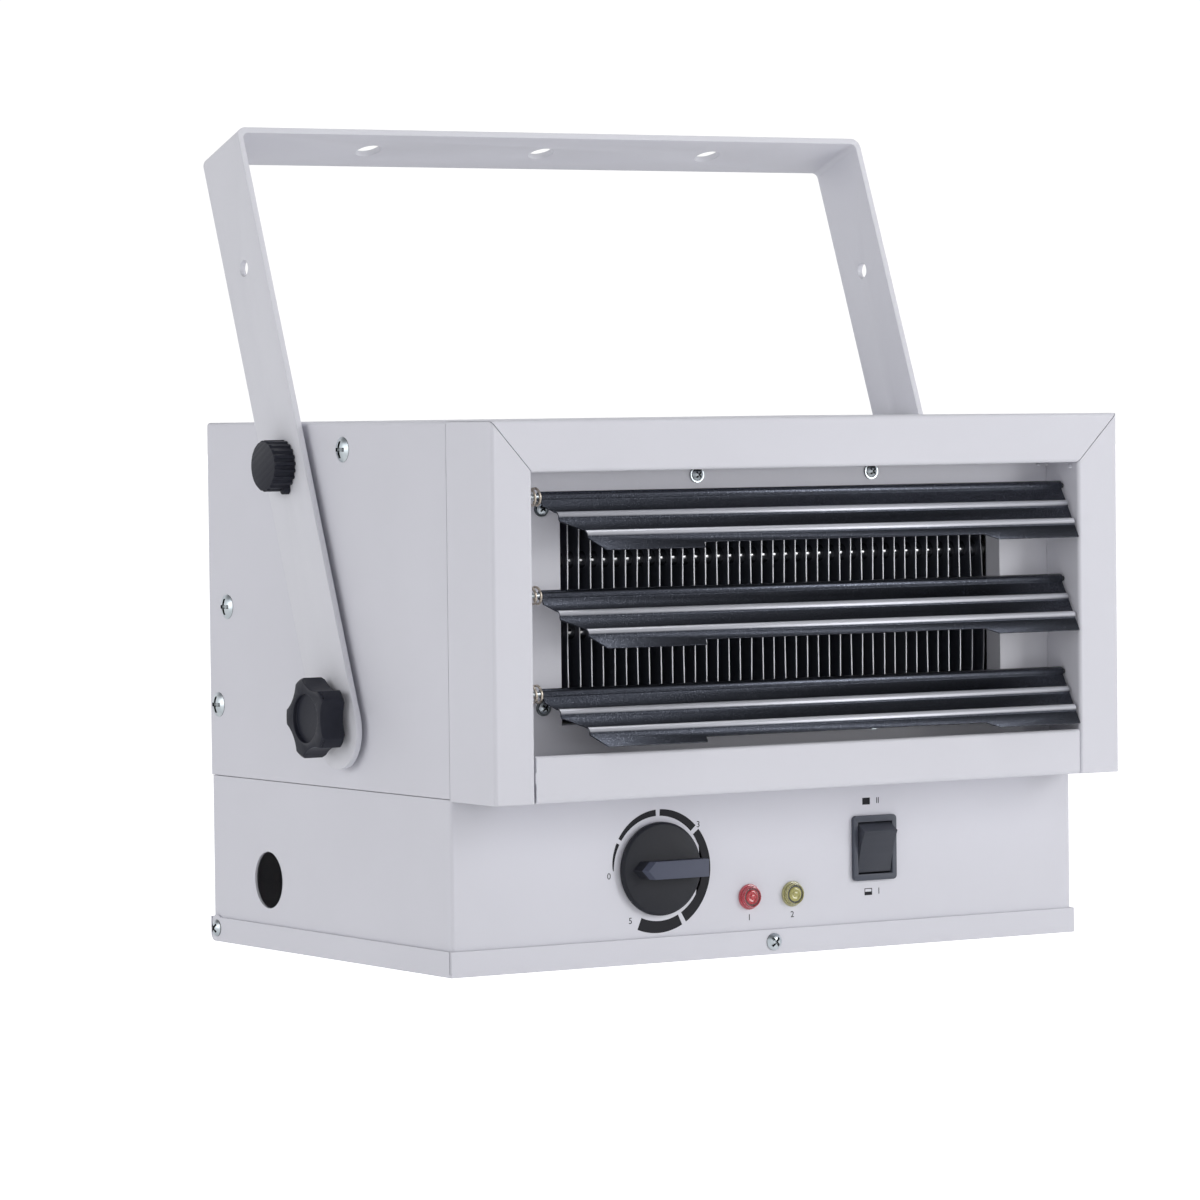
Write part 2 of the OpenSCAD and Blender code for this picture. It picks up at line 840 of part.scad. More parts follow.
// Places a louvre's own frame on pivot i.
module louvre_frame(i) {
    translate([0, louvre_y, louvre_z(i)]) rotate([-blade_rest, 0, 0]) children();
}

module louvre(i) {
    color("#3c3e45") from_mount() louvre_frame(i) intersection() {
        push_x(bead_left, bead_right) blade_outline();
        push_y(-8, 8) blade_front();
    }
}

module louvre_pins(i) {
    color("silver") from_mount() {
        bar_x(louvre_pin_r, win_left - sheet_t - pin_tail, bead_left + pin_grip,
              louvre_y, louvre_z(i));
        bar_x(louvre_pin_r, bead_right - pin_grip, win_right + sheet_t + pin_tail,
              louvre_y, louvre_z(i));
    }
}

module upper_louvre() { louvre(0); }
module middle_louvre() { louvre(1); }
module lower_louvre() { louvre(2); }
module upper_louvre_pins() { louvre_pins(0); }
module middle_louvre_pins() { louvre_pins(1); }
module lower_louvre_pins() { louvre_pins(2); }

// A coil spring along X as one tube: ring k, side j.
function spring_centre(k) = [
    spring_seat + spring_wire_r + spring_pitch * k / spring_rings,
    spring_r * cos(360 * k / spring_rings),
    spring_r * sin(360 * k / spring_rings)];

function spring_point(k, j) =
    let (turn = 360 * k / spring_rings, side = 360 * j / spring_sides)
    spring_centre(k) + spring_wire_r
        * [sin(side), cos(side) * cos(turn), cos(side) * sin(turn)];

spring_last = spring_turns * spring_rings;
spring_points = [for (k = [0:spring_last], j = [0:spring_sides - 1]) spring_point(k, j)];
spring_faces = concat(
    [[for (j = [0:spring_sides - 1]) j]],
    [for (k = [0:spring_last - 1], j = [0:spring_sides - 1])
        let (n = (j + 1) % spring_sides, a = k * spring_sides, b = a + spring_sides)
        [a + j, b + j, b + n, a + n]],
    [[for (j = [spring_sides - 1:-1:0]) spring_last * spring_sides + j]]);

// Least gap between neighbouring curls, from the ring points themselves.
spring_gap = min([for (k = [0:spring_last - spring_rings], j = [0:spring_sides - 1],
                       m = [0:spring_sides - 1])
    norm(spring_point(k, j) - spring_point(k + spring_rings, m))]);

module louvre_springs() {
    echo(spring_gap = spring_gap);
    color("#b9b2a6") from_mount() for (i = [0:louvre_n - 1])
        translate([win_left, louvre_y, louvre_z(i)])
            polyhedron(points = spring_points, faces = spring_faces);
}

// --------------------------------------------------------- the heating pack

module fin_pack() {
    color("#2a2b30") from_mount() for (i = [0:fin_n - 1])
        push_x(fin_first + i * fin_pitch - fin_t / 2, fin_first + i * fin_pitch + fin_t / 2)
            difference() {
                translate([fin_y, fin_bottom]) square([fin_d, fin_top - fin_bottom]);
                for (z = rod_z, y = [leg_front_y, leg_front_y + leg_pitch])
                    translate([y, z]) circle(r = rod_r + rod_play);
            }
}

module element_rods() {
    color("#8d8f94") from_mount() for (z = rod_z) {
        for (y = [leg_front_y, leg_front_y + leg_pitch])
            bar_x(rod_r, bend_x, rod_end_x, y, z);
        translate([bend_x, leg_front_y + leg_pitch / 2, z]) rotate([0, 0, 90])
            rotate_extrude(angle = 180) translate([leg_pitch / 2, 0]) circle(r = rod_r);
    }
}

module element_end_plates() {
    flange_w = 15;
    color("silver") from_mount() both_sides() difference() {
        union() {
            block([-end_plate_x - sheet_t, flange_y, fin_bottom],
                  [-end_plate_x, fin_y + fin_d + 2, fin_top]);
            block([-end_plate_x - flange_w, flange_y, fin_bottom],
                  [-end_plate_x, flange_y + sheet_t, fin_top]);
        }
        for (z = rod_z, y = [leg_front_y, leg_front_y + leg_pitch])
            bar_x(rod_r + rod_play, -end_plate_x - sheet_t - overlap, -end_plate_x + overlap, y, z);
        for (p = baffle_screws_xz)
            bar_y(screw_r + 0.05, flange_y - overlap, flange_y + sheet_t + overlap, -abs(p[0]), p[1]);
    }
}

module element_terminals() {
    color("ivory") from_mount() for (z = rod_z, y = [leg_front_y, leg_front_y + leg_pitch]) {
        bar_x(rod_r * 0.8, rod_end_x, rod_end_x + insulator_len, y, z);
        bar_x(terminal_r, rod_end_x + insulator_len - overlap,
              rod_end_x + insulator_len + terminal_len, y, z);
    }
}

module air_duct() {
    side_flange = 7;
    top_flange = 14;
    bottom_flange = 12;
    color("silver") from_mount() difference() {
        union() {
            block([-duct_half_w, flange_y, duct_bottom - duct_wall],
                  [duct_half_w, duct_back, duct_top + duct_wall]);
            block([-duct_half_w - side_flange, flange_y, duct_bottom - bottom_flange],
                  [duct_half_w + side_flange, flange_y + duct_wall, duct_top + top_flange]);
        }
        block([-duct_half_w + duct_wall, flange_y - overlap, duct_bottom],
              [duct_half_w - duct_wall, duct_back + overlap, duct_top]);
        for (p = baffle_screws_xz)
            bar_y(screw_r + 0.05, flange_y - overlap, flange_y + duct_wall + overlap, p[0], p[1]);
    }
}

// A round body on a strip, with two upright tabs.
module limit_thermostat() {
    strip_w = 32;
    strip_d = 10;
    strip_t = 1;
    can_r = 8.5;
    can_h = 8;
    tab_x = 3;
    tab_t = 0.8;
    tab_d = 6;
    tab_h = 7;
    color("#2b2b2e") from_mount() translate([limit_x, limit_y, duct_top + duct_wall]) union() {
        block([-strip_w / 2, -strip_d / 2, 0], [strip_w / 2, strip_d / 2, strip_t]);
        cylinder(r = can_r, h = can_h);
        for (s = [-1, 1]) translate([s * tab_x, 0, can_h - overlap])
            block([-tab_t / 2, -tab_d / 2, 0], [tab_t / 2, tab_d / 2, tab_h]);
    }
}

// ------------------------------------------------------------------ the fan

module fan_shroud() {
    low = seam_z + sheet_t + 0.4;
    high = cabinet_h - sheet_t - 0.3;
    color("silver") from_mount() difference() {
        union() {
            block([-shroud_half_w, shroud_y, low], [shroud_half_w, shroud_y + sheet_t, high]);
            both_sides() block([-shroud_half_w, shroud_y, low],
                               [-shroud_half_w + sheet_t, shroud_y + 16, high]);
            block([-shroud_half_w, shroud_y, high - sheet_t], [shroud_half_w, shroud_y + 12, high]);
            bar_y(ring_r + sheet_t, shroud_y, shroud_y + ring_d, 0, fan_z);
        }
        bar_y(ring_r, shroud_y - overlap, shroud_y + ring_d + overlap, 0, fan_z);
        both_sides() {
            bar_x(stud_bore_r + 0.3, -half_w, -shroud_half_w + sheet_t + overlap, tilt_y, tilt_z);
            bar_x(screw_r + screw_play, -half_w, -shroud_half_w + sheet_t + overlap,
                  side_screws_yz[0][0], side_screws_yz[0][1]);
        }
        for (s = [-1, 1]) bar_y(screw_r + 0.05, shroud_y - overlap, shroud_y + sheet_t + overlap,
                                s * foot_screw_x, fan_z);
    }
}

module motor_bracket() {
    foot_y = shroud_y + sheet_t + 0.1;
    z0 = fan_z - motor_strap_h / 2;
    z1 = fan_z + motor_strap_h / 2;
    color("silver") from_mount() difference() {
        union() {
            block([-strap_half_w, strap_y, z0], [strap_half_w, strap_y + motor_strap_t, z1]);
            both_sides() {
                block([-strap_half_w, foot_y, z0],
                      [-strap_half_w + motor_strap_t, strap_y + motor_strap_t, z1]);
                block([-strap_half_w - motor_foot, foot_y, z0],
                      [-strap_half_w + motor_strap_t, foot_y + motor_strap_t, z1]);
            }
        }
        both_sides() bar_y(screw_r + screw_play, foot_y - overlap, foot_y + motor_strap_t + overlap,
                           foot_screw_x, fan_z);
        bar_y(shaft_r + 4, strap_y - overlap, strap_y + motor_strap_t + overlap, 0, fan_z);
        both_sides() bar_y(screw_r + screw_play, strap_y - overlap,
                           strap_y + motor_strap_t + overlap, motor_screw_x, fan_z);
    }
}

module motor_bracket_screws() {
    foot_back = shroud_y + sheet_t + 0.1 + motor_strap_t;
    color("silver") from_mount() {
        for (s = [-1, 1]) {
            facing_back(s * foot_screw_x, foot_back, fan_z) pan_screw(small_screw_len);
            facing_back(s * motor_screw_x, strap_y + motor_strap_t, fan_z)
                pan_screw(small_screw_len);
        }
    }
}

module motor_housing() {
    bell_r = 24;
    bell_d = 6;
    edge = 3;
    color("#3a3c42") from_mount() difference() {
        translate([0, motor_y, fan_z]) rotate([-90, 0, 0]) rotate_extrude() polygon([
            [0, 0], [bell_r, 0], [bell_r, bell_d], [motor_r - edge, bell_d],
            [motor_r, bell_d + edge], [motor_r, motor_len - edge],
            [motor_r - edge, motor_len], [0, motor_len]]);
        bar_y(shaft_bore_r, motor_y - overlap, motor_y + motor_len + overlap, 0, fan_z);
        for (s = [-1, 1]) bar_y(screw_r + 0.05, motor_y + motor_len - 8,
                                motor_y + motor_len + overlap, s * motor_screw_x, fan_z);
    }
}

module fan_shaft() {
    color("silver") from_mount()
        bar_y(shaft_r, hub_y - 6, motor_y + motor_len - 1, 0, fan_z);
}

// A pressed paddle: a strip of a round shell cut to a rounded outline.
module fan_paddle() {
    curve_r = 60;
    sheet = 1.2;
    pitch = 28;
    bow = 3;
    root_half_w = 9;
    paddle_half_w = 22;
    paddle_from = 30;
    paddle_mid = 48;
    paddle_r = 30;
    intersection() {
        translate([0, 0, hub_r - 2]) linear_extrude(height = blade_tip_r)
            rotate(pitch) translate([0, bow - curve_r]) difference() {
                circle(r = curve_r + sheet / 2);
                circle(r = curve_r - sheet / 2);
            }
        push_y(-paddle_depth / 2, paddle_depth / 2) union() {
            intersection() {
                circle(r = blade_tip_r);
                translate([-paddle_r, paddle_from]) square([2 * paddle_r, blade_tip_r]);
                union() {
                    translate([0, paddle_mid]) circle(r = paddle_r);
                    translate([-paddle_half_w, paddle_from])
                        square([2 * paddle_half_w, paddle_mid - paddle_from + 2]);
                }
            }
            translate([-root_half_w, 0]) square([2 * root_half_w, paddle_from + 10]);
        }
    }
}

module fan_blade() {
    color("#b8bbc0") from_mount() translate([0, hub_y + hub_d / 2, fan_z]) difference() {
        union() {
            rotate([90, 0, 0]) translate([0, 0, -hub_d / 2]) rotate_extrude() polygon([
                [0, 0], [hub_r, 0], [hub_r, hub_d - 3], [hub_r - 3, hub_d], [0, hub_d]]);
            for (i = [0:blade_n - 1]) rotate([0, i * 360 / blade_n, 0]) fan_paddle();
        }
        bar_y(shaft_bore_r, -hub_d, hub_d, 0, 0);
    }
}

module fan_nut() {
    color("silver") from_mount() difference() {
        translate([0, hub_y - 0.1, fan_z]) rotate([90, 0, 0])
            cylinder(r = fan_nut_r, h = fan_nut_h, $fn = 6);
        bar_y(shaft_bore_r, hub_y - 6, hub_y + overlap, 0, fan_z);
    }
}

// ---------------------------------------------------------- the control box

module control_box() {
    color("gainsboro") from_mount() difference() {
        translate([0, 0, sheet_t + 0.2]) linear_extrude(height = box_top - sheet_t - 0.2) difference() {
            round_rect(-half_w, 0, half_w, cabinet_d, fold_r);
            round_rect(-inner_half_w, sheet_t, inner_half_w, cabinet_d - sheet_t,
                       fold_r - sheet_t);
        }
        block([-half_w - overlap, cabinet_d - tray_bend_r, 0],
              [half_w + overlap, cabinet_d + overlap, sheet_t + tray_bend_r]);
        bar_x(cable_hole_d / 2, -half_w - overlap, -inner_half_w + overlap, cable_y, cable_z);
        bar_y(spindle_hole_r, -overlap, sheet_t + overlap, dial_x, dial_z);
        for (x = [red_x, amber_x]) bar_y(lamp_hole_r + 0.1, -overlap, sheet_t + overlap, x, lamp_z);
        block([switch_x - switch_body_w / 2 - 0.2, -overlap, switch_z - switch_body_h / 2 - 0.2],
              [switch_x + switch_body_w / 2 + 0.2, sheet_t + overlap,
               switch_z + switch_body_h / 2 + 0.2]);
        bar_y(screw_r + screw_play, -overlap, sheet_t + overlap, front_screw_x, tray_screw_z);
        bar_y(screw_r + screw_play, cabinet_d - sheet_t - overlap, cabinet_d + overlap,
              front_screw_x, tray_screw_z);
        both_sides() bar_x(screw_r + screw_play, -half_w - overlap, -inner_half_w + overlap,
                           tray_screw_y, tray_side_z);
    }
}

// The tray seen from its side, from y0 to y1 and from z0 up, its lower back edge bent round.
module tray_side(y0, y1, z0, r) {
    translate([y0, z0]) square([y1 - y0 - r, tray_lip_h - z0]);
    translate([y0, z0 + r]) square([y1 - y0, tray_lip_h - z0 - r]);
    translate([y1 - r, z0 + r]) circle(r = r);
}

module base_tray() {
    out_x = half_w + tray_gap + tray_lip_t;
    in_x = half_w + tray_gap;
    front = -tray_gap;
    back = cabinet_d + tray_gap;
    slit = 0.8;
    tab_r = 6.5;
    color("gainsboro") from_mount() difference() {
        union() {
            push_x(-out_x, out_x) difference() {
                tray_side(front - tray_lip_t, back + tray_lip_t, 0, tray_bend_r);
                tray_side(front, back, sheet_t, tray_bend_r - tray_lip_t);
                translate([front, tray_lip_h - overlap]) square([back - front, 2 * overlap]);
            }
            both_sides() push_x(-out_x, -in_x) {
                tray_side(front + slit, back - slit, 0, tray_bend_r);
                intersection() {
                    translate([tray_screw_y, tray_side_z]) circle(r = tab_r);
                    square([back - slit, tray_side_z + tab_r]);
                }
            }
        }
        bar_y(screw_r + screw_play, front - tray_lip_t - overlap, front + 0.05,
              front_screw_x, tray_screw_z);
        bar_y(screw_r + screw_play, back - 0.05, back + tray_lip_t + overlap,
              front_screw_x, tray_screw_z);
        both_sides() bar_x(screw_r + screw_play, -out_x - overlap, -in_x + 0.05,
                           tray_screw_y, tray_side_z);
    }
}

module tray_screws() {
    out = tray_gap + tray_lip_t;
    color("silver") from_mount() {
        facing_front(front_screw_x, -out, tray_screw_z) tray_screw(screw_len);
        facing_back(front_screw_x, cabinet_d + out, tray_screw_z) tray_screw(screw_len);
        both_sides() facing_left(-half_w - out, tray_screw_y, tray_side_z) tray_screw(screw_len);
    }
}

module thermostat_body() {
    front = sheet_t + 0.2;
    w = thermostat_w / 2;
    tab_x = 10;
    tab_z = 4;
    tab_w = 6;
    tab_t = 0.8;
    tab_len = 8;
    color("#4a4b50") from_mount() difference() {
        union() {
            block([dial_x - w, front, dial_z - w], [dial_x + w, front + thermostat_d, dial_z + w]);
            bar_y(spindle_hole_r - 0.2, 0.2, front + overlap, dial_x, dial_z);
            for (s = [-1, 1])
                block([dial_x + s * tab_x - tab_w / 2, front + thermostat_d - overlap, dial_z - tab_z],
                      [dial_x + s * tab_x + tab_w / 2, front + thermostat_d + tab_len,
                       dial_z - tab_z + tab_t]);
        }
        bar_y(spindle_r + 0.05, -overlap, front + 12.5, dial_x, dial_z);
    }
}

module dial_spindle() {
    color("silver") from_mount()
        bar_y(spindle_r, -dial_gap - dial_h + 4, sheet_t + 12, dial_x, dial_z);
}

// The dial: a thin skirt and a grip that slopes to a point at the left.
module dial_knob() {
    chamfer = 1.2;
    grip_end = dial_r - 1;
    grip_tip = -12.6;
    ridge_slope = 62;
    side_slope = 41;
    color("#26272b") from_mount() translate([dial_x, -dial_gap, dial_z]) rotate([90, 0, 0])
        difference() {
            union() {
                rotate_extrude() polygon([[0, 0], [dial_r - 0.6, 0], [dial_r, 0.6],
                    [dial_r, skirt_h - chamfer], [dial_r - chamfer, skirt_h - 0.2],
                    [dial_r / 2, skirt_h + 0.1], [0, skirt_h + 0.1]]);
                difference() {
                    translate([-dial_r + 3, -grip_w / 2, 0]) cube([dial_r - 3 + grip_end, grip_w, dial_h]);
                    for (s = [-1, 1]) translate([grip_tip, 0, dial_h])
                        rotate([0, -ridge_slope, 0]) rotate([s * side_slope, 0, 0])
                            translate([-30, -30, 0]) cube([60, 60, 30]);
                }
            }
            translate([0, 0, -overlap]) cylinder(r = spindle_r + 0.05, h = dial_h - 3.4 + overlap);
            difference() {
                translate([0, 0, -overlap]) cylinder(r = dial_r - 2, h = 1 + overlap);
                translate([0, 0, -2 * overlap]) cylinder(r = spindle_r + 3, h = 5);
            }
        }
}

module switch_housing() {
    wall_x = rocker_half_w + rocker_play * 2;
    pin_x = rocker_half_w + rocker_pin_len + 0.1;
    wall_z = rocker_end_z + rocker_play * 2;
    back = rocker_axis_y + 10;
    body_back = switch_depth - 7;
    tab_pitch = 8;
    tab_half_w = 3;
    tab_t = 0.8;
    color("#222327") from_mount() translate([switch_x, 0, switch_z]) difference() {
        union() {
            push_y(-switch_front, 0)
                round_rect(-switch_w / 2, -switch_h / 2, switch_w / 2, switch_h / 2, 2);
            block([-switch_body_w / 2, -overlap, -switch_body_h / 2],
                  [switch_body_w / 2, body_back, switch_body_h / 2]);
            for (i = [-1:1]) translate([0, 0, i * tab_pitch])
                block([-tab_half_w, body_back - overlap, -tab_t / 2],
                      [tab_half_w, switch_depth, tab_t / 2]);
        }
        block([-wall_x, -switch_front - overlap, -wall_z], [wall_x, back, wall_z]);
        bar_x(rocker_pin_r + pin_play, -pin_x, pin_x, rocker_axis_y, 0);
    }
}

// The rocker: a hollowed face between two sloping ends, on a pin through its middle.
module rocker() {
    shoulder_y = 1.5;
    back_y = 4;
    back_z = 11;
    dip = 1;
    dip_r = (rocker_face_z * rocker_face_z + dip * dip) / (2 * dip);
    color("#2a2b2f") from_mount() translate([switch_x, rocker_axis_y, switch_z])
        rotate([rocker_rest, 0, 0]) union() {
            push_x(-rocker_half_w, rocker_half_w) difference() {
                polygon([[rocker_face_y, -rocker_face_z], [rocker_face_y, rocker_face_z],
                         [shoulder_y, rocker_end_z], [back_y, back_z],
                         [back_y, -back_z], [shoulder_y, -rocker_end_z]]);
                translate([rocker_face_y + dip - dip_r, 0]) circle(r = dip_r, $fn = 96);
            }
            bar_x(rocker_pin_r, -rocker_half_w - rocker_pin_len, rocker_half_w + rocker_pin_len, 0, 0);
        }
}

// A lamp in one piece: rim and domed lens in front, barrel and clip ring behind.
module lamp(x) {
    rim_r = lens_r + 0.7;
    rim_t = 1;
    dome_h = 3.6;
    dome_r = (lens_r * lens_r + dome_h * dome_h) / (2 * dome_h);
    barrel_len = 14;
    clip_r = lamp_hole_r + 2.4;
    clip_t = 2;
    clip_back = -sheet_t - 0.2 - clip_t;
    from_mount() translate([x, 0, lamp_z]) rotate([90, 0, 0]) union() {
        cylinder(r = rim_r, h = rim_t);
        intersection() {
            translate([0, 0, rim_t]) cylinder(r = lens_r, h = dome_h);
            translate([0, 0, rim_t + dome_h - dome_r]) sphere(r = dome_r);
        }
        translate([0, 0, -barrel_len]) cylinder(r = lamp_hole_r, h = barrel_len + rim_t);
        translate([0, 0, clip_back]) cylinder(r = clip_r, h = clip_t);
    }
}

module red_lamp() {
    color("#c8323a") lamp(red_x);
}

module amber_lamp() {
    color("#d8c33a") lamp(amber_x);
}

// A row of ways, each with a hole along Y for the wires and two screw wells.
module terminal_block() {
    wire_z = box_floor + block_h - 6;
    way_gap = 2;
    well_r = 2;
    well_edge = 6;
    color("ivory") from_mount() difference() {
        union() {
            block([block_x, block_y, box_floor],
                  [block_x + way_n * way_w, block_y + block_d, box_floor + block_base_h]);
            for (i = [0:way_n - 1])
                block([block_x + i * way_w + way_gap / 2, block_y, box_floor],
                      [block_x + (i + 1) * way_w - way_gap / 2, block_y + block_d,
                       box_floor + block_h]);
        }
        for (i = [0:way_n - 1]) {
            bar_y(wire_hole_r, block_y - overlap, block_y + block_d + overlap,
                  block_x + (i + 0.5) * way_w, wire_z);
            for (y = [block_y + well_edge, block_y + block_d - well_edge])
                bar_z(well_r, wire_z, box_floor + block_h + overlap,
                      block_x + (i + 0.5) * way_w, y);
        }
    }
}

// A stepped body with six terminals on the step.
module power_relay() {
    step = 6;
    tab_w = 8;
    tab_d = 6;
    tab_pitch = 15;
    color("#e6e4da") from_mount() translate([relay_x, relay_y, box_floor]) union() {
        block([-relay_w / 2, -relay_d / 2, 0], [relay_w / 2, relay_d / 2, relay_base_h]);
        block([-relay_w / 2 + step, -relay_d / 2 + step, 0],
              [relay_w / 2 - step, relay_d / 2 - step, relay_h]);
        for (i = [-1:1], s = [-1, 1])
            translate([i * tab_pitch, s * (relay_d - tab_d - 2) / 2, relay_base_h - overlap])
                block([-tab_w / 2, -tab_d / 2, 0], [tab_w / 2, tab_d / 2, tab_d + overlap]);
    }
}

// A foot with two screw wells and an arch around the cord.
module cord_clamp() {
    bore_z = box_floor + cord_r * 2;
    ring_r = cord_r + clamp_ring_t;
    well_at = clamp_half_d - 3;
    well_floor = 2;
    color("#2f3035") from_mount() difference() {
        union() {
            block([block_x, cable_y - clamp_half_d, box_floor],
                  [block_x + clamp_w, cable_y + clamp_half_d, box_floor + clamp_foot_h]);
            bar_x(ring_r, block_x, block_x + clamp_w, cable_y, bore_z);
            block([block_x, cable_y - ring_r, box_floor], [block_x + clamp_w, cable_y + ring_r, bore_z]);
        }
        bar_x(cord_r, block_x - overlap, block_x + clamp_w + overlap, cable_y, bore_z);
        for (s = [-1, 1])
            bar_z(screw_r + screw_play, box_floor + well_floor, box_floor + clamp_foot_h + overlap,
                  block_x + clamp_w / 2, cable_y + s * well_at);
    }
}

bracket();
left_thumb_screw();
left_thumb_stud();
right_thumb_screw();
right_thumb_stud();
cabinet_shell();
back_panel();
inlet_guard();
guard_screws();
frame_top_rail();
frame_left_stile();
frame_right_stile();
frame_sill();
baffle_plate();
baffle_screws();
air_duct();
fin_pack();
element_rods();
element_end_plates();
element_terminals();
limit_thermostat();
fan_shroud();
motor_bracket();
motor_bracket_screws();
motor_housing();
fan_shaft();
fan_blade();
fan_nut();
divider_plate();
control_box();
base_tray();
thermostat_body();
dial_spindle();
dial_knob();
switch_housing();
rocker();
red_lamp();
amber_lamp();
terminal_block();
power_relay();
cord_clamp();
pivot_nuts();
pivot_spacers();
side_screws();
tray_screws();
left_star_knob();
left_knob_stud();
right_star_knob();
right_knob_stud();
upper_louvre();
upper_louvre_pins();
middle_louvre();
middle_louvre_pins();
lower_louvre();
lower_louvre_pins();
louvre_springs();
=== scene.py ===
"""Looks for a ceiling mounted fan heater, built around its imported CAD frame.

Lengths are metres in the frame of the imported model: X to the right of someone
facing the louvres, Y to the back, Z up, origin in the middle ceiling hole.
Sizes that end in _mm are millimetres in the cabinet's own corner planes, and
row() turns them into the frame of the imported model.
"""

import logging
import math
import random
from dataclasses import dataclass, field
from enum import Enum
from typing import Callable, Iterable, Optional, Sequence, Union

import bmesh
import bpy
from mathutils import Matrix, Vector, noise


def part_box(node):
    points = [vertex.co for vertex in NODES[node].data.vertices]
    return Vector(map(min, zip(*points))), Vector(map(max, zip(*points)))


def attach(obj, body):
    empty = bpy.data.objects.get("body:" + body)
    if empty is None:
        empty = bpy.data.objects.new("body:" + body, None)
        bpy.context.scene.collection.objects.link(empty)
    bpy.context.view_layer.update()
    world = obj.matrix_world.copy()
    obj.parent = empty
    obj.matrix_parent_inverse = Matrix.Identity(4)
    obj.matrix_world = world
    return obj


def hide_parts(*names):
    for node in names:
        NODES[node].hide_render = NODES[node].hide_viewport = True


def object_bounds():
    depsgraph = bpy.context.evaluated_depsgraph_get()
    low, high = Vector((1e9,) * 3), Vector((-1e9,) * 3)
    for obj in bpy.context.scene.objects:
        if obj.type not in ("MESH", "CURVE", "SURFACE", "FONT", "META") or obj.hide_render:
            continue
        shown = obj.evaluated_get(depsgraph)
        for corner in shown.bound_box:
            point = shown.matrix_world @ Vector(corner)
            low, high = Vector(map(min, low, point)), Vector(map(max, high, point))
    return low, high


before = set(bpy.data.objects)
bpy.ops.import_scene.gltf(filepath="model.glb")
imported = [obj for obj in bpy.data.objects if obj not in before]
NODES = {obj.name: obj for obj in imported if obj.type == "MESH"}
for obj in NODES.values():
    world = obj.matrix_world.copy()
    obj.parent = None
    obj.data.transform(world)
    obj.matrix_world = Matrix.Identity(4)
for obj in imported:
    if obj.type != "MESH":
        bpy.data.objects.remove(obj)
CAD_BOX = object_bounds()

LOG = logging.getLogger("heater")
MM = 0.001
MOUNT_Y_MM = 202.679
MOUNT_Z_MM = 391.036
PIVOT_Y_MM = -26.8
RED_X_MM = -13.2
AMBER_X_MM = 11.4
CREASE_DEG = 35.0
FLAT_DEG = 0.3
WELD_DISTANCE = 2e-6
WIRE_END = 0.55
WIRE_SEAM = (0.3, 0.5, 0.81)
MIX_COLOURS = (6, 7)
MIX_RESULT = 2

Point = Sequence[float]
Colour = tuple[float, float, float]
Pair = tuple[float, float]
WHITE: Colour = (1.0, 1.0, 1.0)


def row(x: float, y: float, z: float) -> Vector:
    """Return a point given in the cabinet's millimetres, in the frame's metres."""
    return Vector((x * MM, (y - MOUNT_Y_MM) * MM, (z - MOUNT_Z_MM) * MM))


def turns(count: int, start: float = 0.0) -> list[float]:
    """Return the angles of count even steps round a circle, from a share of a step."""
    return [math.tau * (k + start) / count for k in range(count)]


def towards(azimuth: float, elevation: float) -> Vector:
    """Return the way to a viewer at an azimuth and an elevation in degrees."""
    a, e = math.radians(azimuth), math.radians(elevation)
    return Vector((math.sin(a) * math.cos(e), -math.cos(a) * math.cos(e), math.sin(e)))


class Side(Enum):
    """The two sides of the heater, seen by someone who faces the louvres."""

    LEFT = "left"
    RIGHT = "right"


class Shading(Enum):
    """How a mesh piece turns its faces into a surface."""

    FLAT = "flat"
    CREASED = "creased"
    SMOOTH = "smooth"


class Square(Enum):
    """The square marks beside the switch, by the share that is filled."""

    FULL = 1.0
    HALF = 0.5


# ------------------------------------------------------------------ materials


class Socket:
    """A node's number output, so that shader maths reads as Python."""

    def __init__(self, graph: "Graph", socket: bpy.types.NodeSocket) -> None:
        """Wrap an output socket of a graph."""
        self.graph = graph
        self.socket = socket

    def maths(self, operation: str, *terms: "Term") -> "Socket":
        """Add a Math node on the terms and return its output."""
        return self.graph.node(
            "ShaderNodeMath", {"operation": operation}, dict(enumerate(terms))
        )

    def __add__(self, other: "Term") -> "Socket":
        """Add."""
        return self.maths("ADD", self, other)

    __radd__ = __add__

    def __sub__(self, other: "Term") -> "Socket":
        """Subtract."""
        return self.maths("SUBTRACT", self, other)

    def __rsub__(self, other: "Term") -> "Socket":
        """Subtract from a number."""
        return self.maths("SUBTRACT", other, self)

    def __mul__(self, other: "Term") -> "Socket":
        """Multiply."""
        return self.maths("MULTIPLY", self, other)

    __rmul__ = __mul__

    def __neg__(self) -> "Socket":
        """Change the sign."""
        return self.maths("MULTIPLY", self, -1.0)

    def __gt__(self, other: "Term") -> "Socket":
        """Return 1 where this is greater, and 0 elsewhere."""
        return self.maths("GREATER_THAN", self, other)

    def ramp(self, low: float, high: float) -> "Socket":
        """Map a range to 0 to 1.

        Args:
            low: What becomes 0, with all below it.
            high: What becomes 1, with all above it.

        Returns:
            The mapped value.
        """
        return self.graph.node(
            "ShaderNodeMapRange",
            {"clamp": True},
            {"Value": self, "From Min": low, "From Max": high},
        )


Term = Union[float, Socket]


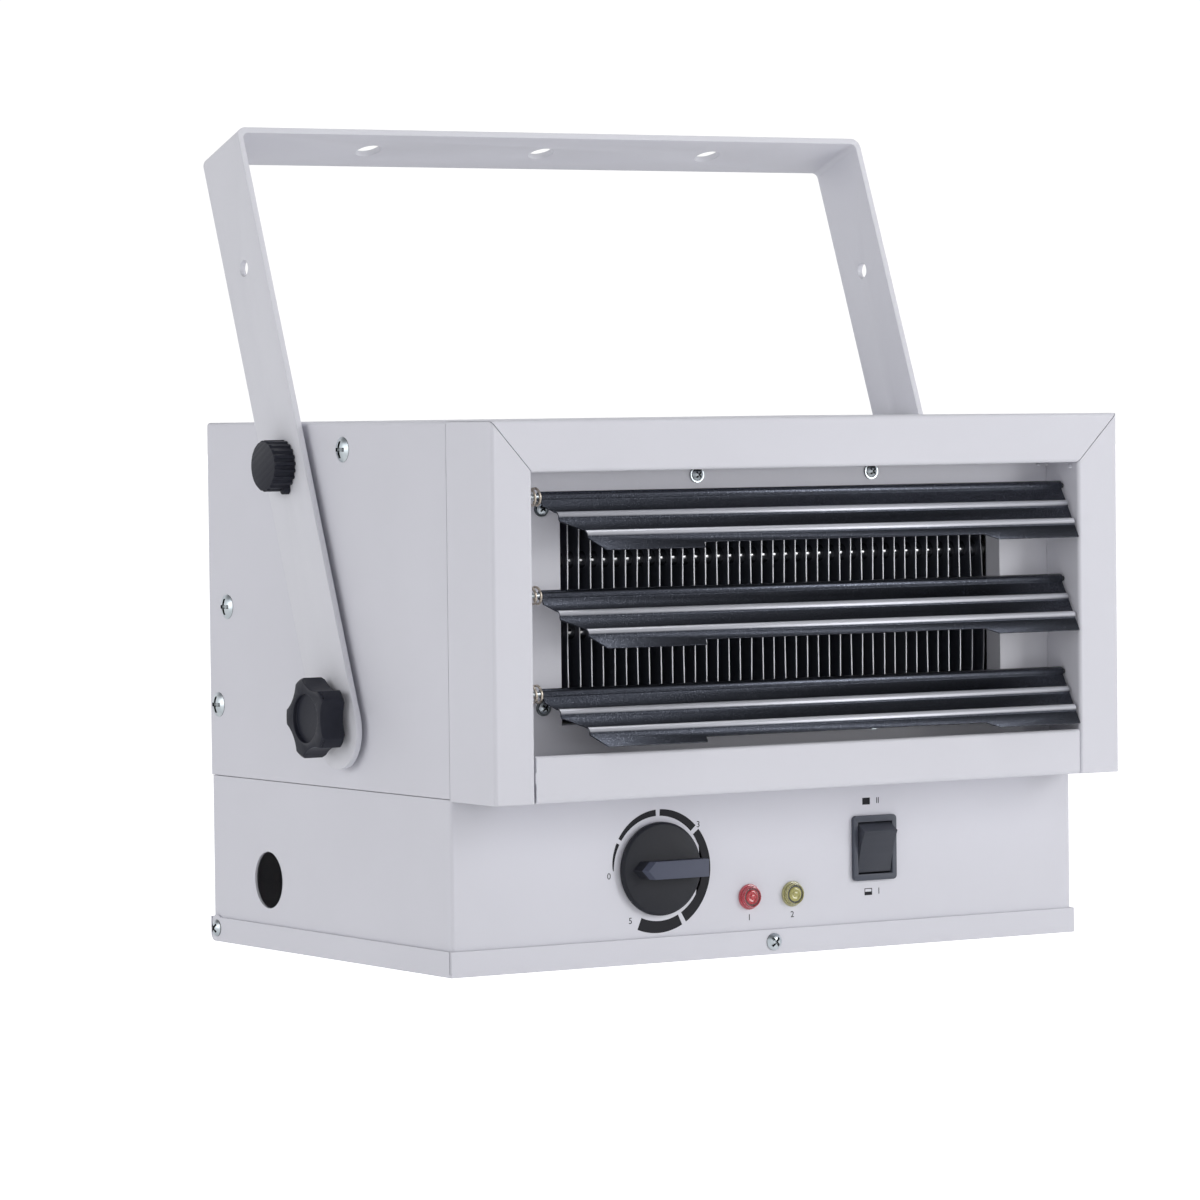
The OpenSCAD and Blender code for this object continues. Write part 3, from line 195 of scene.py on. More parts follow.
class Graph:
    """The nodes of one material or world."""

    def __init__(self, block: Union[bpy.types.Material, bpy.types.World]) -> None:
        """Turn on the nodes of a material or a world.

        Args:
            block: The material or the world.
        """
        self.block = block
        block.use_nodes = True
        self.tree = block.node_tree

    def node(
        self,
        kind: str,
        settings: Optional[dict] = None,
        inputs: Optional[dict] = None,
        output: Union[int, str] = 0,
    ) -> Socket:
        """Add a node.

        Args:
            kind: The node's type name.
            settings: Its properties, set first.
            inputs: Values or sockets, by the input's name or number.
            output: The output to return, by name or number.

        Returns:
            The chosen output.
        """
        made = self.tree.nodes.new(kind)
        for name, value in (settings or {}).items():
            setattr(made, name, value)
        for name, value in (inputs or {}).items():
            self.feed(made.inputs[name], value)
        return Socket(self, made.outputs[output])

    def feed(self, target: bpy.types.NodeSocket, value: Union[Term, Sequence]) -> None:
        """Link or set an input socket.

        Args:
            target: The input.
            value: What it gets: a socket to link, or a plain value.
        """
        if isinstance(value, Socket):
            self.tree.links.new(value.socket, target)
        else:
            target.default_value = value

    def output(self, name: str) -> Socket:
        """Return the first output of a node that is there already."""
        return Socket(self, self.tree.nodes[name].outputs[0])

    def place(self) -> Socket:
        """Return the point on the surface, in the piece's own metres."""
        return self.node("ShaderNodeTexCoord", output="Object")

    def part(self, vector: Socket, axis: int) -> Socket:
        """Return one part of a vector, by axis number."""
        return self.node("ShaderNodeSeparateXYZ", {}, {0: vector}, axis)

    def facing(self, axis: int) -> Socket:
        """Return one part of the face's own normal, by axis number."""
        return self.part(self.node("ShaderNodeTexCoord", output="Normal"), axis)

    def stretched(self, scale: Point) -> Socket:
        """Return the surface point scaled along each axis."""
        return self.node("ShaderNodeMapping", {}, {"Vector": self.place(), "Scale": scale})

    def grain(
        self, scale: float, detail: float = 2.0, vector: Optional[Socket] = None
    ) -> Socket:
        """Add fine noise.

        Args:
            scale: About how many lumps there are in a metre.
            detail: How much finer noise rides on it.
            vector: Where it is read, or the surface point.

        Returns:
            The noise, from 0 to 1.
        """
        return self.node(
            "ShaderNodeTexNoise",
            {},
            {"Vector": vector or self.place(), "Scale": scale, "Detail": detail},
        )

    def blend(
        self, share: Term, low: Union[Colour, Socket], high: Union[Colour, Socket]
    ) -> Socket:
        """Mix two colours.

        Args:
            share: How much of high there is, from 0 to 1.
            low: The colour at 0.
            high: The colour at 1.

        Returns:
            The mixed colour.
        """
        colours = {
            number: value if isinstance(value, Socket) else (*value, 1.0)
            for number, value in zip(MIX_COLOURS, (low, high))
        }
        kind = {"data_type": "RGBA"}
        return self.node("ShaderNodeMix", kind, {0: share, **colours}, MIX_RESULT)

    def bump(
        self, height: Socket, distance: float, strength: float = 1.0, edge: float = 0.0
    ) -> Socket:
        """Return a normal raised by height.

        Args:
            height: The pattern, from 0 to 1.
            distance: How far a height of 1 stands up, in metres.
            strength: The bump's share.
            edge: Radius of the softened edges in metres, or 0 for none.

        Returns:
            The normal.
        """
        inputs = {"Height": height, "Distance": distance, "Strength": strength}
        if edge:
            inputs["Normal"] = self.node("ShaderNodeBevel", {"samples": 3}, {"Radius": edge})
        return self.node("ShaderNodeBump", {}, inputs)

    def for_camera(self, lit: Socket, seen: Socket, target: str) -> None:
        """Show one shader to the camera and another one to everything else.

        Args:
            lit: The shader that lights the heater.
            seen: The shader that only the camera meets.
            target: The output node that gets them.
        """
        ray = self.node("ShaderNodeLightPath", output="Is Camera Ray")
        mixed = self.node("ShaderNodeMixShader", {}, {0: ray, 1: lit, 2: seen})
        self.feed(self.tree.nodes[target].inputs["Surface"], mixed)

    def surface(self, **sockets: Union[Term, Sequence]) -> bpy.types.Material:
        """Feed the Principled shader, its sockets named with underscores.

        Args:
            sockets: Values or sockets by name.

        Returns:
            The material.
        """
        shader = self.tree.nodes["Principled BSDF"]
        for name, value in sockets.items():
            colour = isinstance(value, tuple) and len(value) == 3
            self.feed(shader.inputs[name.replace("_", " ")], (*value, 1.0) if colour else value)
        return self.block


def shade(colour: Colour, factor: float) -> Colour:
    """Return a colour made lighter or darker by a factor."""
    return tuple(min(1.0, part * factor) for part in colour)


@dataclass(frozen=True)
class Finish:
    """What a surface looks like: the name of its material and its main colour."""

    name: str
    colour: Colour

    def graph(self) -> Graph:
        """Return the nodes of a new material."""
        return Graph(bpy.data.materials.new(self.name))

    def material(self) -> bpy.types.Material:
        """Return the material, which each kind of finish builds in its own way."""
        raise NotImplementedError


@dataclass(frozen=True)
class PowderCoat(Finish):
    """Baked powder on sheet steel: fine orange peel, faint cloudiness, soft edges.

    Scales are lumps in a metre, depths and edges are metres.
    """

    roughness: float = 0.5
    gloss: float = 0.3
    cloud_scale: float = 9.0
    fleck_scale: float = 2600.0
    peel_scale: float = 620.0
    peel_depth: float = 0.000035
    edge: float = 0.0004
    darkest: float = 0.965
    palest: float = 1.02

    def material(self) -> bpy.types.Material:
        """Build the coat.

        Returns:
            Its material.
        """
        g = self.graph()
        cloud = g.grain(self.cloud_scale, 3.0)
        fleck = g.grain(self.fleck_scale, 1.0)
        peel = g.grain(self.peel_scale)
        tone = (0.7 * cloud + 0.3 * fleck).ramp(0.3, 0.7)
        dark, pale = shade(self.colour, self.darkest), shade(self.colour, self.palest)
        return g.surface(
            Base_Color=g.blend(tone, dark, pale),
            Roughness=self.roughness - 0.05 + 0.1 * fleck,
            Specular_IOR_Level=self.gloss,
            Normal=g.bump(peel, self.peel_depth, 0.55, self.edge),
        )


@dataclass(frozen=True)
class FlakePaint(Finish):
    """Charcoal paint with fine metal flake, and a painted highlight: paler colour on the upper,
    up-facing part of a blade's raised ridges.

    The blade turns on pivot_mm, its height in the cabinet, and leans by lean degrees.
    What stands proud of it by ridge_from to ridge_full metres is a ridge, and the
    hem nearer than hem metres to the pivot is none.
    """

    colour: Colour = (0.027, 0.03, 0.041)
    pivot_mm: float = 0.0
    flake: Colour = (0.33, 0.355, 0.42)
    # Colour of the painted highlight on the ridges' upper, up-facing part.
    ridge_highlight: Colour = (0.68, 0.69, 0.75)
    roughness: float = 0.26
    lean: float = 31.0
    ridge_from: float = 0.00095
    ridge_full: float = 0.00135
    hem: float = 0.005
    flake_scale: float = 2900.0
    streak_scale: float = 60.0
    streak_stretch: Point = (0.12, 4.0, 4.0)
    dust_scale: float = 1500.0
    dust_depth: float = 0.000012

    def ridges(self, g: Graph) -> Socket:
        """Find where the ridges get the painted highlight: their upper, up-facing part.

        Args:
            g: The paint's nodes.

        Returns:
            1 where the painted highlight goes, on the upper part of the ridges, and 0 on the flats.
        """
        turn = math.radians(self.lean)
        pivot = row(0.0, PIVOT_Y_MM, self.pivot_mm)
        out = Vector((0.0, -math.cos(turn), math.sin(turn)))
        down = Vector((0.0, -math.sin(turn), -math.cos(turn)))
        dot = {"operation": "DOT_PRODUCT"}
        proud, along = (
            g.node("ShaderNodeVectorMath", dot, {0: g.place(), 1: way}, "Value") - pivot.dot(way)
            for way in (out, down)
        )
        high = proud.ramp(self.ridge_from, self.ridge_full)
        return high * (along > self.hem) * g.facing(2).ramp(-0.1, 0.42)

    def material(self) -> bpy.types.Material:
        """Build the paint.

        Returns:
            Its material.
        """
        g = self.graph()
        flake = g.grain(self.flake_scale, 1.0).ramp(0.54, 0.7)
        streak = g.grain(self.streak_scale, 3.0, g.stretched(self.streak_stretch))
        paint = g.blend(0.45 * flake + 0.07 * streak, self.colour, self.flake)
        # Painted highlight: the ridges' upper, up-facing part is coloured paler, standing in for
        # the light it catches.
        proud = self.ridges(g) * (0.8 + 0.2 * streak)
        return g.surface(
            Base_Color=g.blend(proud, paint, self.ridge_highlight),
            Metallic=0.95 - 0.6 * proud,
            Roughness=self.roughness + 0.06 * streak - 0.04 * flake + 0.1 * proud,
            Normal=g.bump(g.grain(self.dust_scale), self.dust_depth, 0.6),
        )


@dataclass(frozen=True)
class Moulding(Finish):
    """Moulded plastic with spark-eroded grain and a faint flow pattern.

    Where a front plane is given in millimetres, what lies in front of it is paler by the factor
    paler.
    """

    roughness: float = 0.5
    gloss: float = 0.28
    grain_scale: float = 1900.0
    flow_scale: float = 40.0
    depth: float = 0.00004
    pale_front_y_mm: Optional[float] = None
    paler: float = 1.0
    pale_fade: float = 0.0004

    def material(self) -> bpy.types.Material:
        """Build the plastic.

        Returns:
            Its material.
        """
        g = self.graph()
        grain = g.grain(self.grain_scale)
        flow = g.grain(self.flow_scale, 3.0)
        tone = g.blend(flow, shade(self.colour, 0.88), shade(self.colour, 1.16))
        if self.pale_front_y_mm is not None:
            # The part in front of the given plane is coloured paler by the factor paler.
            front = -row(0.0, self.pale_front_y_mm, 0.0).y
            in_front = (-g.part(g.place(), 1)).ramp(front, front + self.pale_fade)
            tone = g.blend(in_front, tone, shade(self.colour, self.paler))
        return g.surface(
            Base_Color=tone,
            Roughness=self.roughness - 0.08 + 0.14 * grain,
            Specular_IOR_Level=self.gloss,
            Normal=g.bump(grain, self.depth, 0.7),
        )


@dataclass(frozen=True)
class Plated(Finish):
    """Plated or bare metal with fine scratches and a patchy sheen.

    Hollows narrower than about the painted shade's reach in metres get painted shade: ambient
    occlusion darkens their colour.
    """

    tint: Colour
    roughness: float = 0.3
    patch_scale: float = 160.0
    scratch_scale: float = 900.0
    painted_shade_reach: float = 0.0
    painted_shade_factor: float = 0.05

    def material(self) -> bpy.types.Material:
        """Build the metal.

        Returns:
            Its material.
        """
        g = self.graph()
        patch = g.grain(self.patch_scale)
        scratch = g.grain(self.scratch_scale, 3.0)
        tone = g.blend(patch.ramp(0.3, 0.7), self.colour, self.tint)
        if self.painted_shade_reach:
            # Painted shade: ambient occlusion darkens the colour in narrow hollows such as screw
            # recesses.
            open_sky = g.node(
                "ShaderNodeAmbientOcclusion", {"samples": 8}, {"Distance": self.painted_shade_reach}, "AO"
            )
            tone = g.blend(open_sky.ramp(0.5, 0.9), shade(self.colour, self.painted_shade_factor), tone)
        return g.surface(
            Base_Color=tone,
            Metallic=1.0,
            Roughness=self.roughness - 0.08 + 0.12 * patch + 0.1 * scratch,
            Normal=g.bump(scratch, 0.00001, 0.5),
        )


@dataclass(frozen=True)
class BlackenedSheet(Finish):
    """Blackened sheet whose cut front edges are bare and bright."""

    bare: Colour
    soot_scale: float = 420.0
    nick_scale: float = 210.0

    def material(self) -> bpy.types.Material:
        """Build the sheet.

        Returns:
            Its material.
        """
        g = self.graph()
        soot = g.grain(self.soot_scale, 3.0)
        front = (-g.facing(1)).ramp(0.72, 0.86)
        nick = g.grain(self.nick_scale).ramp(0.2, 0.36)
        bare = front * (0.35 + 0.65 * nick)
        return g.surface(
            Base_Color=g.blend(bare, self.colour, self.bare),
            Metallic=0.35 + 0.2 * bare,
            Roughness=0.42 + 0.15 * soot - 0.06 * bare,
            Normal=g.bump(soot, 0.00003, 0.4),
        )


@dataclass(frozen=True)
class LampLens(Finish):
    """Clear coloured lens moulding, glossy, with a little glow of its own colour."""

    deep: Colour
    glow: float = 0.0
    clear: float = 0.0
    swirl_scale: float = 330.0

    def material(self) -> bpy.types.Material:
        """Build the lens.

        Returns:
            Its material.
        """
        g = self.graph()
        swirl = g.grain(self.swirl_scale)
        return g.surface(
            Base_Color=g.blend(swirl.ramp(0.35, 0.65), self.deep, self.colour),
            Roughness=0.08 + 0.05 * swirl,
            Coat_Weight=1.0,
            Transmission_Weight=self.clear,
            IOR=1.46,
            Emission_Color=self.colour,
            Emission_Strength=self.glow,
            Normal=g.bump(swirl, 0.00002, 0.3),
        )


@dataclass(frozen=True)
class PrintedInk(Finish):
    """Screen printed ink with slightly uneven cover."""

    cover_scale: float = 2400.0

    def material(self) -> bpy.types.Material:
        """Build the ink.

        Returns:
            Its material.
        """
        g = self.graph()
        cover = g.grain(self.cover_scale)
        return g.surface(
            Base_Color=g.blend(cover, shade(self.colour, 0.8), shade(self.colour, 1.3)),
            Roughness=0.55 + 0.1 * cover,
            Specular_IOR_Level=0.2,
            Normal=g.bump(cover, 0.00001, 0.5),
        )


CABINET = PowderCoat("cabinet_coat", (0.66, 0.66, 0.715))
FRAME = PowderCoat("frame_coat", (0.67, 0.67, 0.725))
# The baffle plate has the frame's white coat, coloured paler here as painted light for the recess
# behind the louvres.
BAFFLE = PowderCoat("baffle_coat", (0.72, 0.72, 0.775), roughness=0.45)
STRAP = PowderCoat("strap_coat", (0.68, 0.682, 0.73), peel_depth=0.00005)
BLACK = Moulding("black_moulding", (0.011, 0.0125, 0.022), roughness=0.44)
# The dial's grip, in front of the given plane, is coloured paler.
DIAL_BLACK = Moulding(
    "dial_moulding", (0.0112, 0.0125, 0.0185), grain_scale=1500.0, pale_front_y_mm=-8.1, paler=6.4
)
SWITCH_BLACK = Moulding("switch_moulding", (0.068, 0.075, 0.097), roughness=0.42, depth=0.00002)
ROCKER_BLACK = Moulding("rocker_moulding", (0.048, 0.052, 0.066), roughness=0.5)
INNER = Moulding("inner_moulding", (0.045, 0.045, 0.05))
CREAM = Moulding("cream_moulding", (0.62, 0.6, 0.5), roughness=0.35, depth=0.00001, gloss=0.5)
SPACER = Moulding("rubber_moulding", (0.02, 0.02, 0.022), roughness=0.75)
# The zinc parts get painted shade in their screw recesses and other narrow hollows.
ZINC = Plated("zinc_plate", (0.52, 0.58, 0.62), (0.7, 0.75, 0.78), roughness=0.3, painted_shade_reach=0.0022)
WIRE = Plated("drawn_wire", (0.5, 0.44, 0.37), (0.66, 0.6, 0.52), roughness=0.26, patch_scale=300.0)
GALVANISED = Plated("galvanised_sheet", (0.42, 0.43, 0.44), (0.56, 0.57, 0.58), roughness=0.42)
ROD = Plated("dark_rod", (0.3, 0.3, 0.31), (0.4, 0.4, 0.41), roughness=0.12)
FAN = Plated("pressed_fan", (0.6, 0.61, 0.62), (0.68, 0.69, 0.7), roughness=0.36)
ENAMEL = PowderCoat("black_enamel", (0.02, 0.021, 0.024), roughness=0.3, edge=0.0)
FINS = BlackenedSheet("fin_sheet", (0.075, 0.081, 0.105), (0.62, 0.63, 0.66))
RED = LampLens("red_lens", (0.82, 0.13, 0.17), (0.7, 0.07, 0.1), glow=0.05, clear=0.75)
# The red lamp's well is coloured dark as painted shade in the groove between lens ring and core.
RED_WELL_PAINTED_SHADE = LampLens("red_well_painted_shade", (0.1, 0.004, 0.01), (0.06, 0.002, 0.005), glow=0.02)
RED_CORE = LampLens("red_core", (0.46, 0.02, 0.032), (0.28, 0.008, 0.014), glow=0.13)
AMBER = LampLens("amber_lens", (0.72, 0.69, 0.34), (0.66, 0.62, 0.26), glow=0.03, clear=0.75)
# The amber lamp's well is coloured dark as painted shade in the same groove.
AMBER_WELL_PAINTED_SHADE = LampLens("amber_well_painted_shade", (0.02, 0.02, 0.012), (0.012, 0.012, 0.008))
AMBER_CORE = LampLens("amber_core", (0.4, 0.375, 0.12), (0.27, 0.25, 0.06), glow=0.07)
INK = PrintedInk("dark_ink", (0.014, 0.014, 0.018))

_made: dict[str, bpy.types.Material] = {}


def material_of(finish: Finish) -> bpy.types.Material:
    """Look a finish's material up, or build it the first time.

    Args:
        finish: The finish.

    Returns:
        Its material.
    """
    if finish.name not in _made:
        _made[finish.name] = finish.material()
    return _made[finish.name]


# --------------------------------------------------------------------- meshes


@dataclass(frozen=True)
class Rounding:
    """A rounding of edges sharper than angle degrees: metres wide, faces across."""

    width: float
    segments: int = 2
    angle: float = 30.0


def wear(piece: bpy.types.Object, finish: Finish) -> None:
    """Give a piece one finish all over."""
    piece.data.materials.clear()
    piece.data.materials.append(material_of(finish))


def dress(finish: Finish, *nodes: str) -> None:
    """Put a finish in every material slot of CAD nodes.

    Args:
        finish: The finish.
        nodes: The CAD nodes' names.
    """
    for node in nodes:
        for place in NODES[node].material_slots:
            place.material = material_of(finish)


def set_shading(mesh: bpy.types.Mesh, shading: Shading) -> None:
    """Shade a mesh.

    Args:
        mesh: The mesh.
        shading: Flat, smooth, or smooth up to the crease angle.
    """
    if shading is Shading.FLAT:
        mesh.shade_flat()
        return
    mesh.shade_smooth()
    if shading is Shading.CREASED:
        mesh.set_sharp_from_angle(angle=math.radians(CREASE_DEG))


def from_bmesh(name: str, bm: bmesh.types.BMesh, shading: Shading) -> bpy.types.Object:
    """Turn a bmesh into an object of the scene.

    Args:
        name: The piece's name.
        bm: The mesh, which is freed.
        shading: How its faces are shaded.

    Returns:
        The new object.
    """
    mesh = bpy.data.meshes.new(name)
    bmesh.ops.recalc_face_normals(bm, faces=bm.faces)
    bm.to_mesh(mesh)
    bm.free()
    set_shading(mesh, shading)
    piece = bpy.data.objects.new(name, mesh)
    bpy.context.scene.collection.objects.link(piece)
    return piece


def evaluated_mesh(thing: bpy.types.Object) -> bpy.types.Mesh:
    """Return a new mesh of what an object's modifiers or its curve make."""
    graph = bpy.context.evaluated_depsgraph_get()
    return bpy.data.meshes.new_from_object(thing.evaluated_get(graph))


def round_edges(piece: bpy.types.Object, rounding: Rounding) -> None:
    """Round a piece's sharp edges, in its mesh.

    Args:
        piece: The piece.
        rounding: Which edges, and how round.
    """
    bevel = piece.modifiers.new("edges", "BEVEL")
    bevel.width = rounding.width
    bevel.segments = rounding.segments
    bevel.limit_method = "ANGLE"
    bevel.angle_limit = math.radians(rounding.angle)
    bevel.harden_normals = True
    bevel.use_clamp_overlap = True
    mesh = evaluated_mesh(piece)
    mesh.name = piece.name
    piece.modifiers.clear()
    piece.data = mesh


def softened(name: str, node: str, rounding: Rounding) -> bpy.types.Object:
    """Make a piece with a CAD node's shape and rounded edges.

    Args:
        name: The piece's name.
        node: The CAD node whose shape it has.
        rounding: How its edges are rounded.

    Returns:
        The new object.
    """
    bm = bmesh.new()
    bm.from_mesh(NODES[node].data)
    bmesh.ops.remove_doubles(bm, verts=bm.verts, dist=WELD_DISTANCE)
    bmesh.ops.dissolve_limit(
        bm, angle_limit=math.radians(FLAT_DEG), verts=bm.verts, edges=bm.edges
    )
    for edge in bm.edges:
        edge.smooth = True
    piece = from_bmesh(name, bm, Shading.SMOOTH)
    round_edges(piece, rounding)
    return piece


def loft(name: str, rings: Sequence[Sequence[Point]], shading: Shading) -> bpy.types.Object:
    """Join rings of points into one closed solid.

    Args:
        name: The piece's name.
        rings: The rings, which have equal counts of points.
        shading: How its faces are shaded.

    Returns:
        The new object.
    """
    bm = bmesh.new()
    made = [[bm.verts.new(p) for p in ring] for ring in rings]
    count = len(made[0])
    for low, high in zip(made, made[1:]):
        for i in range(count):
            j = (i + 1) % count
            bm.faces.new((low[i], low[j], high[j], high[i]))
    bm.faces.new(made[0][::-1])
    bm.faces.new(made[-1])
    return from_bmesh(name, bm, shading)


def tube(name: str, path: Sequence[Vector], radius: float, sides: int) -> bpy.types.Object:
    """Make a round wire that follows a path and is closed at both ends.

    Args:
        name: The piece's name.
        path: The points of the wire's middle line.
        radius: The wire's radius in metres.
        sides: Faces round the wire.

    Returns:
        The new object.
    """
    rings = []
    side = Vector(WIRE_SEAM)
    last = len(path) - 1
    for i, point in enumerate(path):
        along = (path[min(i + 1, last)] - path[max(i - 1, 0)]).normalized()
        side = (side - along * side.dot(along)).normalized()
        other = along.cross(side)
        reach = radius * (WIRE_END if i in (0, last) else 1.0)
        rings.append(
            [point + reach * (math.cos(a) * side + math.sin(a) * other) for a in turns(sides)]
        )
    return loft(name, rings, Shading.CREASED)


def flat_print(
    outline: Sequence[Pair], plane_y: float, rise: float
) -> bmesh.types.BMesh:
    """Make a thin slab in an upright plane.

    Args:
        outline: Its outline, as x, z points in metres.
        plane_y: The plane's place.
        rise: How far it reaches in front of the plane and behind it.

    Returns:
        The slab's mesh.
    """
    bm = bmesh.new()
    front = [bm.verts.new((x, plane_y - rise, z)) for x, z in outline]
    back = [bm.verts.new((x, plane_y + rise, z)) for x, z in outline]
    count = len(outline)
    bm.faces.new(front)
    bm.faces.new(back[::-1])
    for i in range(count):
        j = (i + 1) % count
        bm.faces.new((front[i], back[i], back[j], front[j]))
    return bm


@dataclass
class Assembly:
    """One sub-assembly: what it makes rides on one CAD body."""

    body: str
    pieces: list[bpy.types.Object] = field(default_factory=list)

    def add(
        self,
        piece: bpy.types.Object,
        finish: Finish,
        slot: str,
        replaced: Iterable[str] = (),
        body: str = "",
    ) -> None:
        """Finish a new piece and tie it to the frame.

        Args:
            piece: The new piece, in place.
            finish: Its finish.
            slot: The name of the record's material slot; not used.
            replaced: The CAD nodes that it stands for.
            body: The CAD body it rides on, or the sub-assembly's own.
        """
        wear(piece, finish)
        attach(piece, body or self.body)
        if replaced:
            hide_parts(*replaced)
        self.pieces.append(piece)

    def soften(
        self,
        name: str,
        node: str,
        finish: Finish,
        slot: str,
        rounding: Rounding,
        body: str = "",
    ) -> None:
        """Put a finished piece with rounded edges in a CAD node's place.

        Args:
            name: The piece's name.
            node: The CAD node.
            finish: Its finish.
            slot: The record's material slot, which is passed on to add.
            rounding: How its edges are rounded.
            body: The CAD body it rides on, or the sub-assembly's own.
        """
        self.add(softened(name, node, rounding), finish, slot, [node], body)


@dataclass
class Strap(Assembly):
    """The ceiling strap with its two clamp screws."""

    body: str = "bracket"
    bar_edge: Rounding = Rounding(0.0005, 3)
    head_edge: Rounding = Rounding(0.0003, angle=40.0)

    def build(self) -> None:
        """Make the strap and the screws' ribbed heads."""
        self.soften("strap_bar", "bracket", STRAP, "cabinet_paint", self.bar_edge)
        for side in Side:
            self.soften(
                f"{side.value}_clamp_head",
                f"{side.value}_thumb_screw",
                BLACK,
                "black_plastic",
                self.head_edge,
                f"{side.value}_clamp_screw",
            )
            dress(ZINC, f"{side.value}_thumb_stud")


@dataclass
class StarKnobs(Assembly):
    """The two star knobs on the tilt axis."""

    body: str = "left_knob"
    edge: Rounding = Rounding(0.0004, angle=25.0)

    def build(self) -> None:
        """Make both knobs' heads and dress their studs."""
        for side in Side:
            self.soften(
                f"{side.value}_star_head",
                f"{side.value}_star_knob",
                BLACK,
                "black_plastic",
                self.edge,
                f"{side.value}_knob",
            )
            dress(ZINC, f"{side.value}_knob_stud")


@dataclass
class Cabinet(Assembly):
    """The folded cabinet: cover, back, control box, tray and all screws."""

    body: str = "cabinet"

    def build(self) -> None:
        """Dress the sheets and their fixings."""
        dress(CABINET, "cabinet_shell", "back_panel", "control_box", "base_tray")
        dress(GALVANISED, "divider_plate")
        dress(ZINC, "side_screws", "tray_screws", "guard_screws", "pivot_nuts")
        dress(SPACER, "pivot_spacers")
        dress(ENAMEL, "inlet_guard")


@dataclass
class FrontFrame(Assembly):
    """The mitred frame, the baffle plate behind the louvres, and weld spots.

    Each weld spot is its place in the cabinet and its radius, in millimetres.
    """

    body: str = "cabinet"
    weld_spots: tuple[tuple[float, ...], ...] = (
        (153.4, -33.5, 229.2, 1.3),
        (151.5, -17.0, 230.6, 1.1),
        (148.0, -15.2, 230.4, 0.9),
    )
    spot_stretch: Point = (0.75, 1.0, 0.8, 1.0)
    spot_waves: float = 900.0
    spot_depth: float = 0.0002
    spot_seed: int = 7

    def build(self) -> None:
        """Dress the rails and add the weld spots."""
        dress(FRAME, "frame_top_rail", "frame_left_stile", "frame_right_stile", "frame_sill")
        dress(BAFFLE, "baffle_plate")
        dress(ZINC, "baffle_screws")
        bm = bmesh.new()
        for x, y, z, size in self.weld_spots:
            lump = Matrix.Translation(row(x, y, z)) @ Matrix.Diagonal(self.spot_stretch)
            bmesh.ops.create_icosphere(bm, subdivisions=3, radius=size * MM, matrix=lump)
        noise.seed_set(self.spot_seed)
        for vert in bm.verts:
            vert.co += self.spot_depth * noise.noise_vector(vert.co * self.spot_waves)
        self.add(from_bmesh("weld_spots", bm, Shading.SMOOTH), FRAME, "frame_paint")


